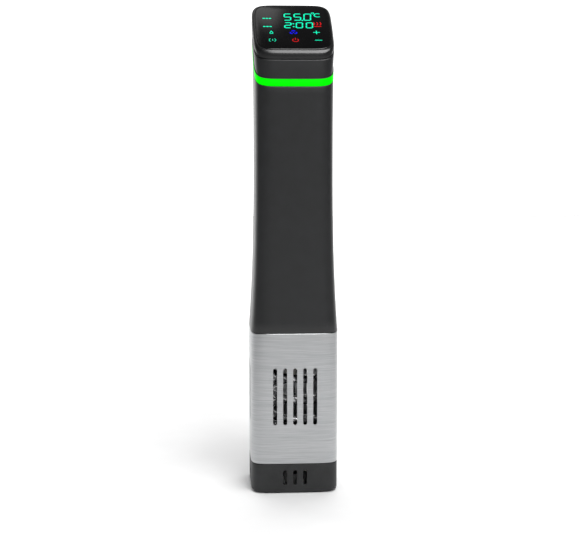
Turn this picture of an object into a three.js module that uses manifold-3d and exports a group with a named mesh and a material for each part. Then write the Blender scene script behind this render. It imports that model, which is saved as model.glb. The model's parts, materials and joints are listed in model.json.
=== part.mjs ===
// Immersion circulator for sous vide cooking: a slim waisted tower with a slanted touch display and a
// slanted light ring at the top, a rear screw clamp, and a slide-off steel skirt over the heater and pump.
// Millimetres, +Z up, the display faces -Y, and the origin is the centre of the underside of the base cap.
import * as THREE from "three";
import { LoftGeometry } from "three/addons/geometries/LoftGeometry.js";
import { mergeVertices } from "three/addons/utils/BufferGeometryUtils.js";
import Module from "manifold-3d";

const wasm = await Module();
wasm.setup();

// ---------------------------------------------------------------- driving dimensions

// outer form
const HEIGHT = 392; // underside of the base to the back edge of the display
const FOOT_WIDTH = 70; // width of the skirt and the base
const WAIST_NARROWING = 8; // how much narrower the middle of the tower is
const HEAD_NARROWING = 5.6; // how much narrower the display is
const DEPTH_LESS = 4.4; // each section is this much less deep than it is wide
const CORNER_POWER = 6.4; // exponent of the superellipse that every section follows
const HEAD_FLARE_POWER = 2.5; // how late the tower widens towards the head
const FOOT_FLARE_POWER = 2.7; // how late it widens towards the skirt
const SHOULDER_Z = 130; // where the housing ends and the skirt starts
const WAIST_DROP = 91; // from the middle of the display down to the waist
const DISPLAY_SLOPE = THREE.MathUtils.degToRad(35);
const SECTION_POINTS = 32;
const HOLE_SIDES = 8;
const BOSS_SIDES = 10;
const SHANK_SIDES = 6;

// casing
const WALL = 2.4;
const GAP = 0.3; // between pieces that touch
const SEAM_DROP = 6.5; // from the display surface down to the seam under the bezel
const RING_DROP = 21.9; // from the display surface down to the light ring
const RING_HEIGHT = 5.2;
const RIM_FILLET = 2.6; // rounded rim around the glass
const GLASS_THICKNESS = 1.8;
const LEDGE_WIDTH = 5.9; // the glass rests on this ledge of the bezel
const LEDGE_THICKNESS = 2.5;
const SPIGOT_DROP = 12; // depth of the bezel's spigot inside the head shell
const BOSS_RADIUS = 3;
const BOSS_INSET = 10.7; // case screw centres, in from the head's sides
const HOUSING_BOSS_LENGTH = 14;
const GUSSET_THICKNESS = 2;
const SCREW_RADIUS = 1.25;
const SCREW_HEAD_RADIUS = 2.4;
const SCREW_HEAD_HEIGHT = 2;

const SPIGOT_WALL = 1.9;
const FLANGE_WIDTH = 2.2; // the light ring's lip inside the head shell, as wide as it is thick

// electronics
const BOARD_THICKNESS = 1.6;
const RING_BOARD_WIDTH = 9;
const DIGITS_WIDTH_SHARE = 0.51; // the digit module's width, as a share of the head's
const DIGITS_LENGTH_SHARE = 0.4; // its length along the slope, as a share of the head's depth
const DIGITS_OFFSET_SHARE = 0.06; // its place right of the middle, as a share of the head's width
const BUZZER_RADIUS = 5.5;
const BUZZER_HEIGHT = 4;
const POWER_BOARD_Y = 4;
const RAIL_THICKNESS = 1.6; // ribs that hold the power board's edges
const RAIL_GRIP = 1.2; // how far they reach over its edges
const TALL_PART_HEIGHT = 22; // transformer, relay, capacitor and heat sink on the power board
const GLAND_BORE_RADIUS = 3.8;
const GLAND_WALL = 2.7;
const GLAND_LIP = 2.5;
const GLAND_DROP = 25; // below the housing's top edge at the back

// motor and pump
const SHAFT_RADIUS = 2.5;
const MOTOR_AIR = 4.2; // between the motor and the bosses around it
const MOTOR_LENGTH = 34;
const FAN_HEIGHT = 8;
const IMPELLER_RADIUS = 18;
const IMPELLER_HEIGHT = 10;
const IMPELLER_Z = 12;
const NUT_HEIGHT = 4;
const BEARING_TUBE_LENGTH = 26;
const BEARING_TUBE_WALL = 3.2;
const SEAL_WALL = 5.2; // width of the shaft seal's rubber
const MOTOR_PILLAR_RADIUS = 2.5;
const MOTOR_STANDOFF = 14; // from the seal plate's floor up to the motor
const FAN_STANDOFF = 8;

// wet end
const PLATE_THICKNESS = 4; // floor of the seal plate
const COLLAR_HEIGHT = 11.7; // the skirt slides over this much of the seal plate
const PLUG_HEIGHT = 12; // the seal plate reaches this far up into the housing
const PLUG_WALL = 3.7;
const PLATE_SCREW_INSET = 7;
const PLATE_BOSS_HEIGHT = 12;
const SKIRT_WALL = 1;
const SLIDE_CLEARANCE = 0.4; // between the skirt and the seal plate's collar
const SLOT_WIDTH = 3.2;
const SKIRT_SLOT_LENGTH = 46;
const SLOT_PITCH = 8;
const SKIRT_SLOTS_PER_FACE = 5;
const BASE_SLOTS_PER_FACE = 3;
const BASE_HEIGHT = 24;
const BASE_FLOOR = 3.2;
const BASE_SPIGOT = 10;
const BASE_SLOT_LENGTH = 12;
const FOOT_FILLET = 3;
const HEATER_RADIUS = 3.2;
const HEATER_TURNS = 4;
const PROBE_RADIUS = 2.5;
const PROBE_LENGTH = 60; // below the seal plate, like the electrodes' lengths
const ELECTRODE_RADIUS = 1.5;
const LOW_ELECTRODE_LENGTH = 52;
const HIGH_ELECTRODE_LENGTH = 26;
const SLEEVE_WALL = 1.5;
const SEAL_RING_HEIGHT = 3;
const SEAL_RING_DEPTH = 1.7;

// clamp
const THROAT_RISE = 65; // from the shoulder up to where the pot's rim meets the hook
const THROAT_WIDTH = 32;
const ARM_THICKNESS = 9;
const ARM_LENGTH = 49;
const BRACKET_WIDTH = 26;
const BRACKET_STANDOFF = 4.7; // the bracket's plate stands this far behind the skirt
const BRIDGE_HEIGHT = 12;
const CUSHION_LENGTH = 30;
const CUSHION_THICKNESS = 2;
const CLAMP_SCREW_RADIUS = 3.9;
const PAD_RADIUS = 10;
const PAD_THICKNESS = 5;
const KNOB_RADIUS = 14;
const KNOB_LENGTH = 13;
const REST_OPENING = 12; // between the two cushions, as drawn
const CLAMP_TRAVEL = 11; // the pad moves this far towards the plate
const INSERT_LIP = 1.5;

// ---------------------------------------------------------------- derived places

const slopeRise = Math.tan(DISPLAY_SLOPE);
const waistWidth = FOOT_WIDTH - WAIST_NARROWING;
const headWidth = FOOT_WIDTH - HEAD_NARROWING;
const headHalfDepth = (headWidth - DEPTH_LESS) / 2;
const displayZ = HEIGHT - headHalfDepth * slopeRise; // middle of the display surface
const waistZ = displayZ - WAIST_DROP;
const ringBottomDrop = RING_DROP + RING_HEIGHT;
const housingTopZ = displayZ - ringBottomDrop - GAP; // middle of the housing's slanted top edge
const footHalfWidth = FOOT_WIDTH / 2;
const footHalfDepth = (FOOT_WIDTH - DEPTH_LESS) / 2;
const bossX = headWidth / 2 - BOSS_INSET;
const bossY = headHalfDepth - BOSS_INSET;
const plateZ = SHOULDER_Z - GAP - COLLAR_HEIGHT; // underside of the seal plate
const plateTopZ = plateZ + PLATE_THICKNESS;
const plateScrewX = footHalfWidth - PLATE_SCREW_INSET;
const plateScrewY = footHalfDepth - PLATE_SCREW_INSET + 0.4;
const motorRadius = plateScrewY - BOSS_RADIUS - MOTOR_AIR;
const motorZ = plateTopZ + MOTOR_STANDOFF;
const fanZ = motorZ + MOTOR_LENGTH + FAN_STANDOFF;

// The probe, the electrodes and the heater's second leg stand in the corners of the seal plate's cavity,
// where the heater's nut just fits. The heater's coil passes inside them.
const cavityInset = WALL + GAP + PLUG_WALL;
const cornerShare = 0.5 ** (1 / CORNER_POWER); // a section's corner point, as a share of its half size
const heaterNutRadius = HEATER_RADIUS + 2.4;
const nutReach = heaterNutRadius * Math.SQRT1_2 + GAP;
const cornerX = (footHalfWidth - cavityInset) * cornerShare - nutReach;
const cornerY = (footHalfDepth - cavityInset) * cornerShare - nutReach;
const coilRadius = Math.min(
  Math.hypot(cornerX, cornerY) - 2 * HEATER_RADIUS - 1.6,
  plateScrewX - BOSS_RADIUS - heaterNutRadius,
);

const throatZ = SHOULDER_Z + THROAT_RISE;
const armLowZ = throatZ - ARM_LENGTH;
const screwAxisZ = armLowZ + 17;
const bracketPlateY = footHalfDepth + BRACKET_STANDOFF; // the pot's wall rests against this face
const armInnerY = bracketPlateY + THROAT_WIDTH;
const armOuterY = armInnerY + ARM_THICKNESS;
const padFaceY = bracketPlateY + CUSHION_THICKNESS + REST_OPENING + CUSHION_THICKNESS;

// ---------------------------------------------------------------- solids

function solidOf(geometry) {
  const bare = new THREE.BufferGeometry()
    .setAttribute("position", geometry.attributes.position)
    .setIndex(geometry.index);
  const merged = mergeVertices(bare, 1e-4);
  return new wasm.Manifold(
    new wasm.Mesh({
      numProp: 3,
      vertProperties: merged.attributes.position.array,
      triVerts: new Uint32Array(merged.index.array),
    }),
  );
}

function geometryOf(solid) {
  const mesh = solid.getMesh();
  const points = new Float32Array(mesh.vertProperties);
  return new THREE.BufferGeometry()
    .setAttribute("position", new THREE.BufferAttribute(points, 3))
    .setIndex(new THREE.BufferAttribute(new Uint32Array(mesh.triVerts), 1));
}

const join = (solids) => solids.reduce((whole, solid) => whole.add(solid));
const cut = (solid, tools) => tools.reduce((left, tool) => left.subtract(tool), solid);

const signedPower = (value, power) => Math.sign(value) * Math.abs(value) ** power;

// the tower's half width at a height
function halfWidth(z) {
  const up = THREE.MathUtils.clamp((z - waistZ) / WAIST_DROP, 0, 1);
  const down = THREE.MathUtils.clamp((waistZ - z) / (waistZ - SHOULDER_Z), 0, 1);
  const headGrowth = (headWidth - waistWidth) * up ** HEAD_FLARE_POWER;
  const footGrowth = WAIST_NARROWING * down ** FOOT_FLARE_POWER;
  return (waistWidth + headGrowth + footGrowth) / 2;
}

const halfDepth = (z) => halfWidth(z) - DEPTH_LESS / 2;

// One closed section of the tower, inset from its surface. rise is the slope of the section's plane
// towards the back: 0 is level, slopeRise is parallel to the display.
function section(z, inset, rise = 0) {
  return Array.from({ length: SECTION_POINTS }, (_, i) => {
    const angle = (2 * Math.PI * i) / SECTION_POINTS;
    const across = signedPower(Math.cos(angle), 2 / CORNER_POWER);
    const along = signedPower(Math.sin(angle), 2 / CORNER_POWER);
    let y = along * (halfDepth(z) - inset);
    for (let pass = 0; pass < 4; pass++) y = along * (halfDepth(z + y * rise) - inset);
    const pointZ = z + y * rise;
    return new THREE.Vector3(across * (halfWidth(pointZ) - inset), y, pointZ);
  });
}

// a section parallel to the display, measured down from it
const slantedSection = (drop, inset) => section(displayZ - drop, inset, slopeRise);

const loft = (sections) => solidOf(new LoftGeometry(sections, { capStart: true, capEnd: true }));
const tube = (sections) => solidOf(new LoftGeometry([...sections, sections[0]]));

// the slab between two planes parallel to the display
const slantedSlab = (lowDrop, highDrop, inset) =>
  loft([slantedSection(lowDrop, inset), slantedSection(highDrop, inset)]);

// a straight cylinder that stands on (x, y, z) and points up
function post(radius, height, x, y, z, sides = 16) {
  const geometry = new THREE.CylinderGeometry(radius, radius, height, sides);
  return solidOf(geometry.rotateX(Math.PI / 2).translate(x, y, z + height / 2));
}

// a cylinder along Y that starts at (x, y, z) and runs towards +Y
function bar(radius, length, x, y, z, sides = 16) {
  const geometry = new THREE.CylinderGeometry(radius, radius, length, sides);
  return solidOf(geometry.translate(x, y + length / 2, z));
}

// a box given by its lowest and highest corners
function block(low, high) {
  const size = high.map((value, i) => value - low[i]);
  const geometry = new THREE.BoxGeometry(...size);
  return solidOf(geometry.translate(...low.map((value, i) => value + size[i] / 2)));
}

// a solid of revolution about +Z from a closed profile of [radius, z]
function turned(profile, sides = 24) {
  const points = [...profile, profile[0]].map(([r, z]) => new THREE.Vector2(r, z));
  const geometry = new THREE.LatheGeometry(points, sides).rotateX(Math.PI / 2).scale(1, -1, 1);
  const solid = solidOf(geometry);
  if (solid.volume() > 0) return solid;
  const index = geometry.index.array;
  for (let i = 0; i < index.length; i += 3) [index[i], index[i + 1]] = [index[i + 1], index[i]];
  return solidOf(geometry);
}

const ringAbout = (outer, inner, height, z, sides = 24) =>
  turned([[inner, z], [outer, z], [outer, z + height], [inner, z + height]], sides);

// a hexagonal nut with a round bore
const hexNut = (outer, bore, height, x, y, z) =>
  post(outer, height, x, y, z, 6).subtract(post(bore, height + 2, x, y, z - 1, 16));

const fourCorners = (x, y) => [[-x, -y], [x, -y], [x, y], [-x, y]];

// A vertical slot with round ends, cut through a wall. facing is the wall's outward direction, turned
// from -Y about Z.
function slotTool(length, facing, offset, middleZ, reach) {
  const radius = SLOT_WIDTH / 2;
  const half = length / 2 - radius;
  const shape = new THREE.Shape()
    .absarc(0, half, radius, 0, Math.PI, false)
    .absarc(0, -half, radius, Math.PI, 2 * Math.PI, false);
  const geometry = new THREE.ExtrudeGeometry(shape, {
    depth: 12,
    bevelEnabled: false,
    curveSegments: 2,
  });
  geometry.rotateX(Math.PI / 2).translate(offset, -reach + 6, middleZ).rotateZ(facing);
  return solidOf(geometry);
}

// slots side by side on all four faces
function slotsAllRound(perFace, length, middleZ) {
  const tools = [];
  for (let quarter = 0; quarter < 4; quarter++) {
    const reach = quarter % 2 === 0 ? footHalfDepth : footHalfWidth;
    for (let i = 0; i < perFace; i++) {
      const offset = (i - (perFace - 1) / 2) * SLOT_PITCH;
      tools.push(slotTool(length, (quarter * Math.PI) / 2, offset, middleZ, reach));
    }
  }
  return tools;
}

// ---------------------------------------------------------------- materials

const finish = (color, roughness, metalness = 0) =>
  new THREE.MeshStandardMaterial({ color, roughness, metalness });
const MATERIALS = {
  blackShell: finish(0x2f3032, 0.45),
  blackGlass: finish(0x101112, 0.08),
  greenLight: finish(0x22ff22, 0.4),
  steel: finish(0xb8babc, 0.3, 1),
  darkPlastic: finish(0x232426, 0.55),
  board: finish(0x1f5a35, 0.6),
  whitePlastic: finish(0xdedcd6, 0.5),
  rubber: finish(0x1b1b1b, 0.8),
  silicone: finish(0x8c2f28, 0.6),
  brass: finish(0xb08d4a, 0.35, 1),
  aluminium: finish(0xa9acb0, 0.4, 1),
};

// One group for each body that moves on its own. The last two carry pieces whose axis lies along +Y.
const circulator = new THREE.Group();
const housing = new THREE.Group();
const rotor = new THREE.Group();
const skirt = new THREE.Group();
const glandAxis = new THREE.Group();
const clampAxis = new THREE.Group();
circulator.add(housing, rotor, skirt);
housing.add(glandAxis, clampAxis);
for (const axis of [glandAxis, clampAxis]) axis.rotation.x = -Math.PI / 2;

function add(group, name, material, solid) {
  const mesh = new THREE.Mesh(geometryOf(solid), MATERIALS[material]);
  mesh.name = name;
  group.add(mesh);
  return mesh;
}

// ---------------------------------------------------------------- fasteners

// a screw with its seat at the origin and its shank pointing down
function screw(length, headHeight = SCREW_HEAD_HEIGHT) {
  const head = post(SCREW_HEAD_RADIUS, headHeight, 0, 0, 0, BOSS_SIDES);
  const shank = post(SCREW_RADIUS, length + headHeight / 2, 0, 0, -length, SHANK_SIDES);
  return head.add(shank);
}

// ---------------------------------------------------------------- head

// where a case screw's head rests, below the slanted glass
function caseScrewSeatZ(y) {
  const headTopDrop = GLASS_THICKNESS + 2 * GAP + (SCREW_HEAD_RADIUS + GAP) * slopeRise;
  return displayZ + y * slopeRise - headTopDrop - SCREW_HEAD_HEIGHT;
}

// posts on the four case screw axes, trimmed by two slanted planes and joined to the wall by gussets
function caseBosses(lowDrop, highDrop, withGussets) {
  const parts = fourCorners(bossX, bossY).map(([x, y]) =>
    post(BOSS_RADIUS, HEIGHT, x, y, 0, BOSS_SIDES),
  );
  if (withGussets) {
    for (const [x, y] of fourCorners(bossX, bossY)) {
      const reach = 14;
      const gusset = new THREE.BoxGeometry(reach, GUSSET_THICKNESS, HEIGHT)
        .translate(reach / 2, 0, HEIGHT / 2)
        .rotateZ(Math.atan2(y, x))
        .translate(x, y, 0);
      parts.push(solidOf(gusset));
    }
  }
  return join(parts).intersect(slantedSlab(lowDrop, highDrop, WALL / 2));
}

// holes on the case screw axes, from the middle of the tower up past its top
const caseHoles = (radius) =>
  fourCorners(bossX, bossY).map(([x, y]) => post(radius, HEIGHT, x, y, waistZ, HOLE_SIDES));

function makeDisplayGlass() {
  const edge = RIM_FILLET + GAP;
  add(housing, "display_glass", "blackGlass", slantedSlab(GLASS_THICKNESS, 0, edge));
}

function makeBezel() {
  const rim = [0, 45, 90].map((degrees) => {
    const turn = THREE.MathUtils.degToRad(degrees);
    return slantedSection(RIM_FILLET * (1 - Math.sin(turn)), RIM_FILLET * (1 - Math.cos(turn)));
  });
  const pocketDrop = GLASS_THICKNESS + GAP;
  const ledgeInset = RIM_FILLET + LEDGE_WIDTH;
  const spigotOuter = WALL + GAP;
  const spigotInner = spigotOuter + SPIGOT_WALL;
  const frame = tube([
    slantedSection(SEAM_DROP - GAP, 0),
    ...rim,
    slantedSection(pocketDrop, RIM_FILLET),
    slantedSection(pocketDrop, ledgeInset),
    slantedSection(pocketDrop + LEDGE_THICKNESS, ledgeInset),
    slantedSection(pocketDrop + LEDGE_THICKNESS, spigotInner),
    slantedSection(SPIGOT_DROP, spigotInner),
    slantedSection(SPIGOT_DROP, spigotOuter),
    slantedSection(SEAM_DROP - GAP, spigotOuter),
  ]);
  const bosses = caseBosses(SPIGOT_DROP, pocketDrop + 0.5, false);
  const counterbores = fourCorners(bossX, bossY).map(([x, y]) =>
    post(SCREW_HEAD_RADIUS + GAP, 20, x, y, caseScrewSeatZ(y) - GAP, BOSS_SIDES),
  );
  const holes = caseHoles(SCREW_RADIUS + GAP);
  add(housing, "head_bezel", "blackShell", cut(frame.add(bosses), [...counterbores, ...holes]));
}

function makeHeadShell() {
  const low = RING_DROP - GAP;
  const high = SEAM_DROP + GAP;
  const wall = tube([
    slantedSection(low, 0),
    slantedSection(high, 0),
    slantedSection(high, WALL),
    slantedSection(low, WALL),
  ]);
  const bosses = caseBosses(ringBottomDrop, SPIGOT_DROP + GAP, false);
  const gussets = caseBosses(low, SPIGOT_DROP + GAP, true);
  const holes = caseHoles(SCREW_RADIUS + GAP);
  add(housing, "head_shell", "blackShell", cut(join([wall, bosses, gussets]), holes));
}

function makeLightRing() {
  const flangeInset = WALL + FLANGE_WIDTH;
  const flangeDrop = RING_DROP + FLANGE_WIDTH;
  const ring = tube([
    slantedSection(ringBottomDrop, 0),
    slantedSection(RING_DROP, 0),
    slantedSection(RING_DROP, flangeInset),
    slantedSection(flangeDrop, flangeInset),
    slantedSection(flangeDrop, WALL),
    slantedSection(ringBottomDrop, WALL),
  ]);
  const clear = caseHoles(BOSS_RADIUS + GAP);
  add(housing, "light_ring", "greenLight", cut(ring, clear));
  const boardOuter = flangeInset + GAP;
  const boardInner = boardOuter + RING_BOARD_WIDTH;
  const boardHigh = RING_DROP + 1;
  const boardLow = boardHigh + BOARD_THICKNESS;
  const strip = tube([
    slantedSection(boardLow, boardOuter),
    slantedSection(boardHigh, boardOuter),
    slantedSection(boardHigh, boardInner),
    slantedSection(boardLow, boardInner),
  ]);
  add(housing, "ring_led_board", "board", cut(strip, clear));
}

// lays a mesh parallel to the display, with its centre below the point (x, y) of the display surface
function layOnSlope(mesh, x, y, drop) {
  mesh.position.set(x, y, displayZ + y * slopeRise - drop);
  mesh.rotation.x = DISPLAY_SLOPE;
}

function makeDisplayElectronics() {
  const underGlass = GLASS_THICKNESS + GAP + LEDGE_THICKNESS + GAP;
  const inset = WALL + GAP + SPIGOT_WALL + GAP;
  const boardLow = underGlass + BOARD_THICKNESS;
  const clear = caseHoles(BOSS_RADIUS + GAP);
  add(housing, "display_board", "board", cut(slantedSlab(boardLow, underGlass, inset), clear));
  const moduleHeight = (underGlass - GLASS_THICKNESS - 2 * GAP) * Math.cos(DISPLAY_SLOPE);
  const moduleDrop = (underGlass + GLASS_THICKNESS) / 2;
  const moduleLength = DIGITS_LENGTH_SHARE * 2 * headHalfDepth;
  const moduleReach = (moduleLength / 2) * Math.cos(DISPLAY_SLOPE);
  const moduleY = bossY - BOSS_RADIUS - 2 * GAP - moduleReach;
  const box = new THREE.BoxGeometry(DIGITS_WIDTH_SHARE * headWidth, moduleLength, moduleHeight);
  const digits = add(housing, "digit_module", "whitePlastic", solidOf(box));
  layOnSlope(digits, DIGITS_OFFSET_SHARE * headWidth, moduleY, moduleDrop);
  const can = post(BUZZER_RADIUS, BUZZER_HEIGHT, 0, 0, -BUZZER_HEIGHT);
  layOnSlope(add(housing, "buzzer", "darkPlastic", can), -9, 2, boardLow + GAP);
}

function makeCaseScrews() {
  const length = caseScrewSeatZ(0) - housingTopZ + HOUSING_BOSS_LENGTH - 3;
  fourCorners(bossX, bossY).forEach(([x, y], i) => {
    const mesh = add(housing, `case_screw_${i + 1}`, "steel", screw(length));
    mesh.position.set(x, y, caseScrewSeatZ(y));
  });
}

// ---------------------------------------------------------------- main housing

// sections from the level shoulder up to the slanted top edge
function housingSections(inset) {
  const flareSteps = 4;
  const headSteps = 2;
  const sections = [];
  for (let i = 0; i <= flareSteps; i++) {
    const share = (i / flareSteps) ** 1.3;
    sections.push(section(THREE.MathUtils.lerp(SHOULDER_Z, waistZ, share), inset));
  }
  for (let i = 1; i <= headSteps; i++) {
    const share = i / headSteps;
    const z = THREE.MathUtils.lerp(waistZ, housingTopZ, share);
    sections.push(section(z, inset, slopeRise * share));
  }
  return sections;
}

const bracketScrewZ = throatZ + BRIDGE_HEIGHT / 2;
const bracketScrewX = BRACKET_WIDTH / 2 - 5;
const plateScrews = [[plateScrewX, 0], [-plateScrewX, 0], [0, plateScrewY], [0, -plateScrewY]];
const plugTopZ = SHOULDER_Z + PLUG_HEIGHT;
const glandZ = housingTopZ + headHalfDepth * slopeRise - GLAND_DROP;
const boardBottomZ = fanZ + FAN_HEIGHT + 8;
const boardTopZ = housingTopZ - bossY * slopeRise - HOUSING_BOSS_LENGTH - 4;
const boardHalfWidth = waistWidth / 2 - WALL - 3.6;

// bosses that take the seal plate's screws, each with a rib to the nearest wall
function plateBosses() {
  const low = plugTopZ + GAP;
  return plateScrews.map(([x, y]) => {
    const ribLength = PLATE_SCREW_INSET + 3;
    const rib = new THREE.BoxGeometry(ribLength, GUSSET_THICKNESS, PLATE_BOSS_HEIGHT)
      .translate(ribLength / 2, 0, PLATE_BOSS_HEIGHT / 2)
      .rotateZ(Math.atan2(y, x))
      .translate(x, y, low);
    return post(BOSS_RADIUS, PLATE_BOSS_HEIGHT, x, y, low, BOSS_SIDES).add(solidOf(rib));
  });
}

// two ribs on each side wall that hold the power board's edges between them
function boardRails() {
  const endClearance = 4;
  return [-1, 1].flatMap((side) =>
    [-1, 1].map((face) => {
      const x = [side * (boardHalfWidth - RAIL_GRIP), (side * FOOT_WIDTH) / 2];
      const offset = BOARD_THICKNESS / 2 + GAP + RAIL_THICKNESS / 2;
      const middleY = POWER_BOARD_Y + face * offset;
      return block(
        [Math.min(...x), middleY - RAIL_THICKNESS / 2, boardBottomZ + endClearance],
        [Math.max(...x), middleY + RAIL_THICKNESS / 2, boardTopZ - endClearance],
      );
    }),
  );
}

function makeHousing() {
  const walls = tube([...housingSections(0), ...housingSections(WALL).reverse()]);
  const bossHighDrop = ringBottomDrop + GAP;
  const caseBossSet = caseBosses(bossHighDrop + HOUSING_BOSS_LENGTH, bossHighDrop, true);
  const envelope = loft(housingSections(WALL / 2));
  const inner = join([...plateBosses(), ...boardRails()]).intersect(envelope);
  const through = 20;
  const glandHole = GLAND_BORE_RADIUS + GLAND_WALL + GAP;
  const holes = [
    ...caseHoles(SCREW_RADIUS + GAP),
    ...plateScrews.map(([x, y]) => post(SCREW_RADIUS + GAP, 10, x, y, plugTopZ, HOLE_SIDES)),
    bar(glandHole, through, 0, halfDepth(glandZ) - through / 2, glandZ, 20),
    ...[-bracketScrewX, bracketScrewX].map((x) => {
      const low = halfDepth(bracketScrewZ) - through / 2;
      return bar(SCREW_RADIUS + GAP, through, x, low, bracketScrewZ, HOLE_SIDES);
    }),
  ];
  add(housing, "main_housing", "blackShell", cut(join([walls, caseBossSet, inner]), holes));
}

function makeGland() {
  glandAxis.position.z = glandZ;
  const wallFace = halfDepth(glandZ);
  const bore = GLAND_BORE_RADIUS;
  const body = GLAND_BORE_RADIUS + GLAND_WALL;
  const lipLow = wallFace + GAP;
  const gland = turned([
    [bore, wallFace - WALL - 5],
    [body, wallFace - WALL - 5],
    [body, lipLow],
    [body + GLAND_LIP, lipLow],
    [body + GLAND_LIP, lipLow + 2],
    [body + GLAND_LIP / 2, lipLow + 3.2],
    [bore + 1, lipLow + 3.2],
    [bore, lipLow + 2.6],
  ]);
  add(glandAxis, "cord_gland", "rubber", gland);
  const nutHeight = 3;
  const nutLow = wallFace - WALL - 2 * GAP - nutHeight;
  const nut = hexNut(body + GLAND_LIP + 1, body + GAP, nutHeight, 0, 0, nutLow);
  add(glandAxis, "gland_nut", "darkPlastic", nut);
}

// The power board stands upright across the tower. Its tall parts face the front, in two columns
// between the rails, the lower row just above the board's edge and the upper row above that.
function makePowerElectronics() {
  const face = POWER_BOARD_Y - BOARD_THICKNESS / 2;
  const board = block(
    [-boardHalfWidth, face, boardBottomZ],
    [boardHalfWidth, face + BOARD_THICKNESS, boardTopZ],
  );
  add(housing, "power_board", "board", board);
  const front = face - GAP;
  const lowRow = boardBottomZ + 4;
  const highRow = lowRow + TALL_PART_HEIGHT + 3;
  const columnEdge = boardHalfWidth - RAIL_GRIP - 3;
  const columnWidth = columnEdge - 4.8;
  const part = (x, width, depth, z, height) =>
    block([x, front - depth, z], [x + width, front, z + height]);
  const transformer = part(-columnEdge, columnWidth, 15, lowRow, TALL_PART_HEIGHT - 1);
  add(housing, "transformer", "darkPlastic", transformer);
  const relay = part(-columnEdge, columnWidth - 2, 13, highRow, TALL_PART_HEIGHT - 3);
  add(housing, "relay", "darkPlastic", relay);
  const canRadius = columnWidth / 2 - 2;
  const canX = columnEdge - canRadius;
  const can = post(canRadius, TALL_PART_HEIGHT, canX, front - canRadius, lowRow, 16);
  add(housing, "filter_capacitor", "darkPlastic", can);
  const sinkWidth = columnWidth - 1.4;
  const finThickness = 1.4;
  const finPitch = (sinkWidth - finThickness) / 4;
  const sinkX = columnEdge - sinkWidth;
  const base = part(sinkX, sinkWidth, 3, highRow, TALL_PART_HEIGHT);
  const fins = [0, 1, 2, 3, 4].map((i) =>
    part(sinkX + i * finPitch, finThickness, 14, highRow, TALL_PART_HEIGHT),
  );
  add(housing, "triac_heatsink", "aluminium", join([base, ...fins]));
}

// ---------------------------------------------------------------- motor and pump

function makeMotor() {
  const floor = 3;
  const lidThickness = 4;
  const inner = motorRadius * 0.66;
  const bore = SHAFT_RADIUS + GAP;
  const lidZ = motorZ + MOTOR_LENGTH - lidThickness;
  const can = turned([
    [bore + 2, motorZ],
    [motorRadius, motorZ],
    [motorRadius, lidZ - GAP],
    [inner, lidZ - GAP],
    [inner, motorZ + floor],
    [bore + 2, motorZ + floor],
  ]);
  add(housing, "motor_can", "steel", can);
  add(housing, "motor_end_bell", "aluminium", ringAbout(motorRadius, bore + 2, lidThickness, lidZ));
  const endPlay = 1.5;
  const rotorZ = motorZ + floor + endPlay;
  const motorRotor = ringAbout(inner - 2 * GAP, bore, lidZ - endPlay - rotorZ, rotorZ);
  add(rotor, "motor_rotor", "steel", motorRotor);
}

// a hub with flat blades set at a pitch, trimmed to the wheel's radius and height
function bladedWheel(hubRadius, radius, height, z, blades, pitch) {
  const bore = SHAFT_RADIUS + GAP;
  const root = bore + 0.6;
  const bladeThickness = 1.4;
  const bladeHeight = height / Math.cos(pitch) - 2.2;
  const bladeSet = Array.from({ length: blades }, (_, i) => {
    const blade = new THREE.BoxGeometry(radius - bore, bladeThickness, bladeHeight)
      .rotateX(pitch)
      .translate(root + (radius - bore) / 2, 0, z + height / 2)
      .rotateZ((2 * Math.PI * i) / blades);
    return solidOf(blade);
  });
  const swept = ringAbout(radius, root - 0.2, height, z, 32);
  return ringAbout(hubRadius, bore, height, z, 20).add(join(bladeSet).intersect(swept));
}

function makeRotor() {
  const bore = SHAFT_RADIUS + GAP;
  const shaftLow = IMPELLER_Z - NUT_HEIGHT - GAP;
  const shaftTop = fanZ + FAN_HEIGHT + 3;
  add(rotor, "pump_shaft", "steel", post(SHAFT_RADIUS, shaftTop - shaftLow, 0, 0, shaftLow));
  const pump = bladedWheel(bore + 2.7, IMPELLER_RADIUS, IMPELLER_HEIGHT, IMPELLER_Z, 5, 0.6);
  add(rotor, "impeller", "whitePlastic", pump);
  add(rotor, "impeller_nut", "steel", hexNut(bore + 2.6, bore, NUT_HEIGHT, 0, 0, shaftLow));
  const fan = bladedWheel(bore + 3.2, motorRadius - 1, FAN_HEIGHT, fanZ, 7, -0.7);
  add(rotor, "cooling_fan", "darkPlastic", fan);
}

// ---------------------------------------------------------------- wet end

const collarInset = SKIRT_WALL + SLIDE_CLEARANCE;
const sealRadius = SHAFT_RADIUS + GAP + SEAL_WALL;
const corners = {
  probe: [-cornerX, -cornerY],
  lowElectrode: [cornerX, -cornerY],
  highElectrode: [cornerX, cornerY],
  heaterReturn: [-cornerX, cornerY],
};

// everything that passes up through the seal plate: [radius, x, y]
const plateHoles = [
  [sealRadius, 0, 0],
  [HEATER_RADIUS, coilRadius, 0],
  [HEATER_RADIUS, ...corners.heaterReturn],
  [PROBE_RADIUS, ...corners.probe],
  [ELECTRODE_RADIUS + SLEEVE_WALL, ...corners.lowElectrode],
  [ELECTRODE_RADIUS + SLEEVE_WALL, ...corners.highElectrode],
];

// the closed loop of sections around a ring-shaped channel in the collar
const collarRing = (lowZ, highZ, outerInset, innerInset) =>
  tube([
    section(lowZ, outerInset),
    section(highZ, outerInset),
    section(highZ, innerInset),
    section(lowZ, innerInset),
  ]);

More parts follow.
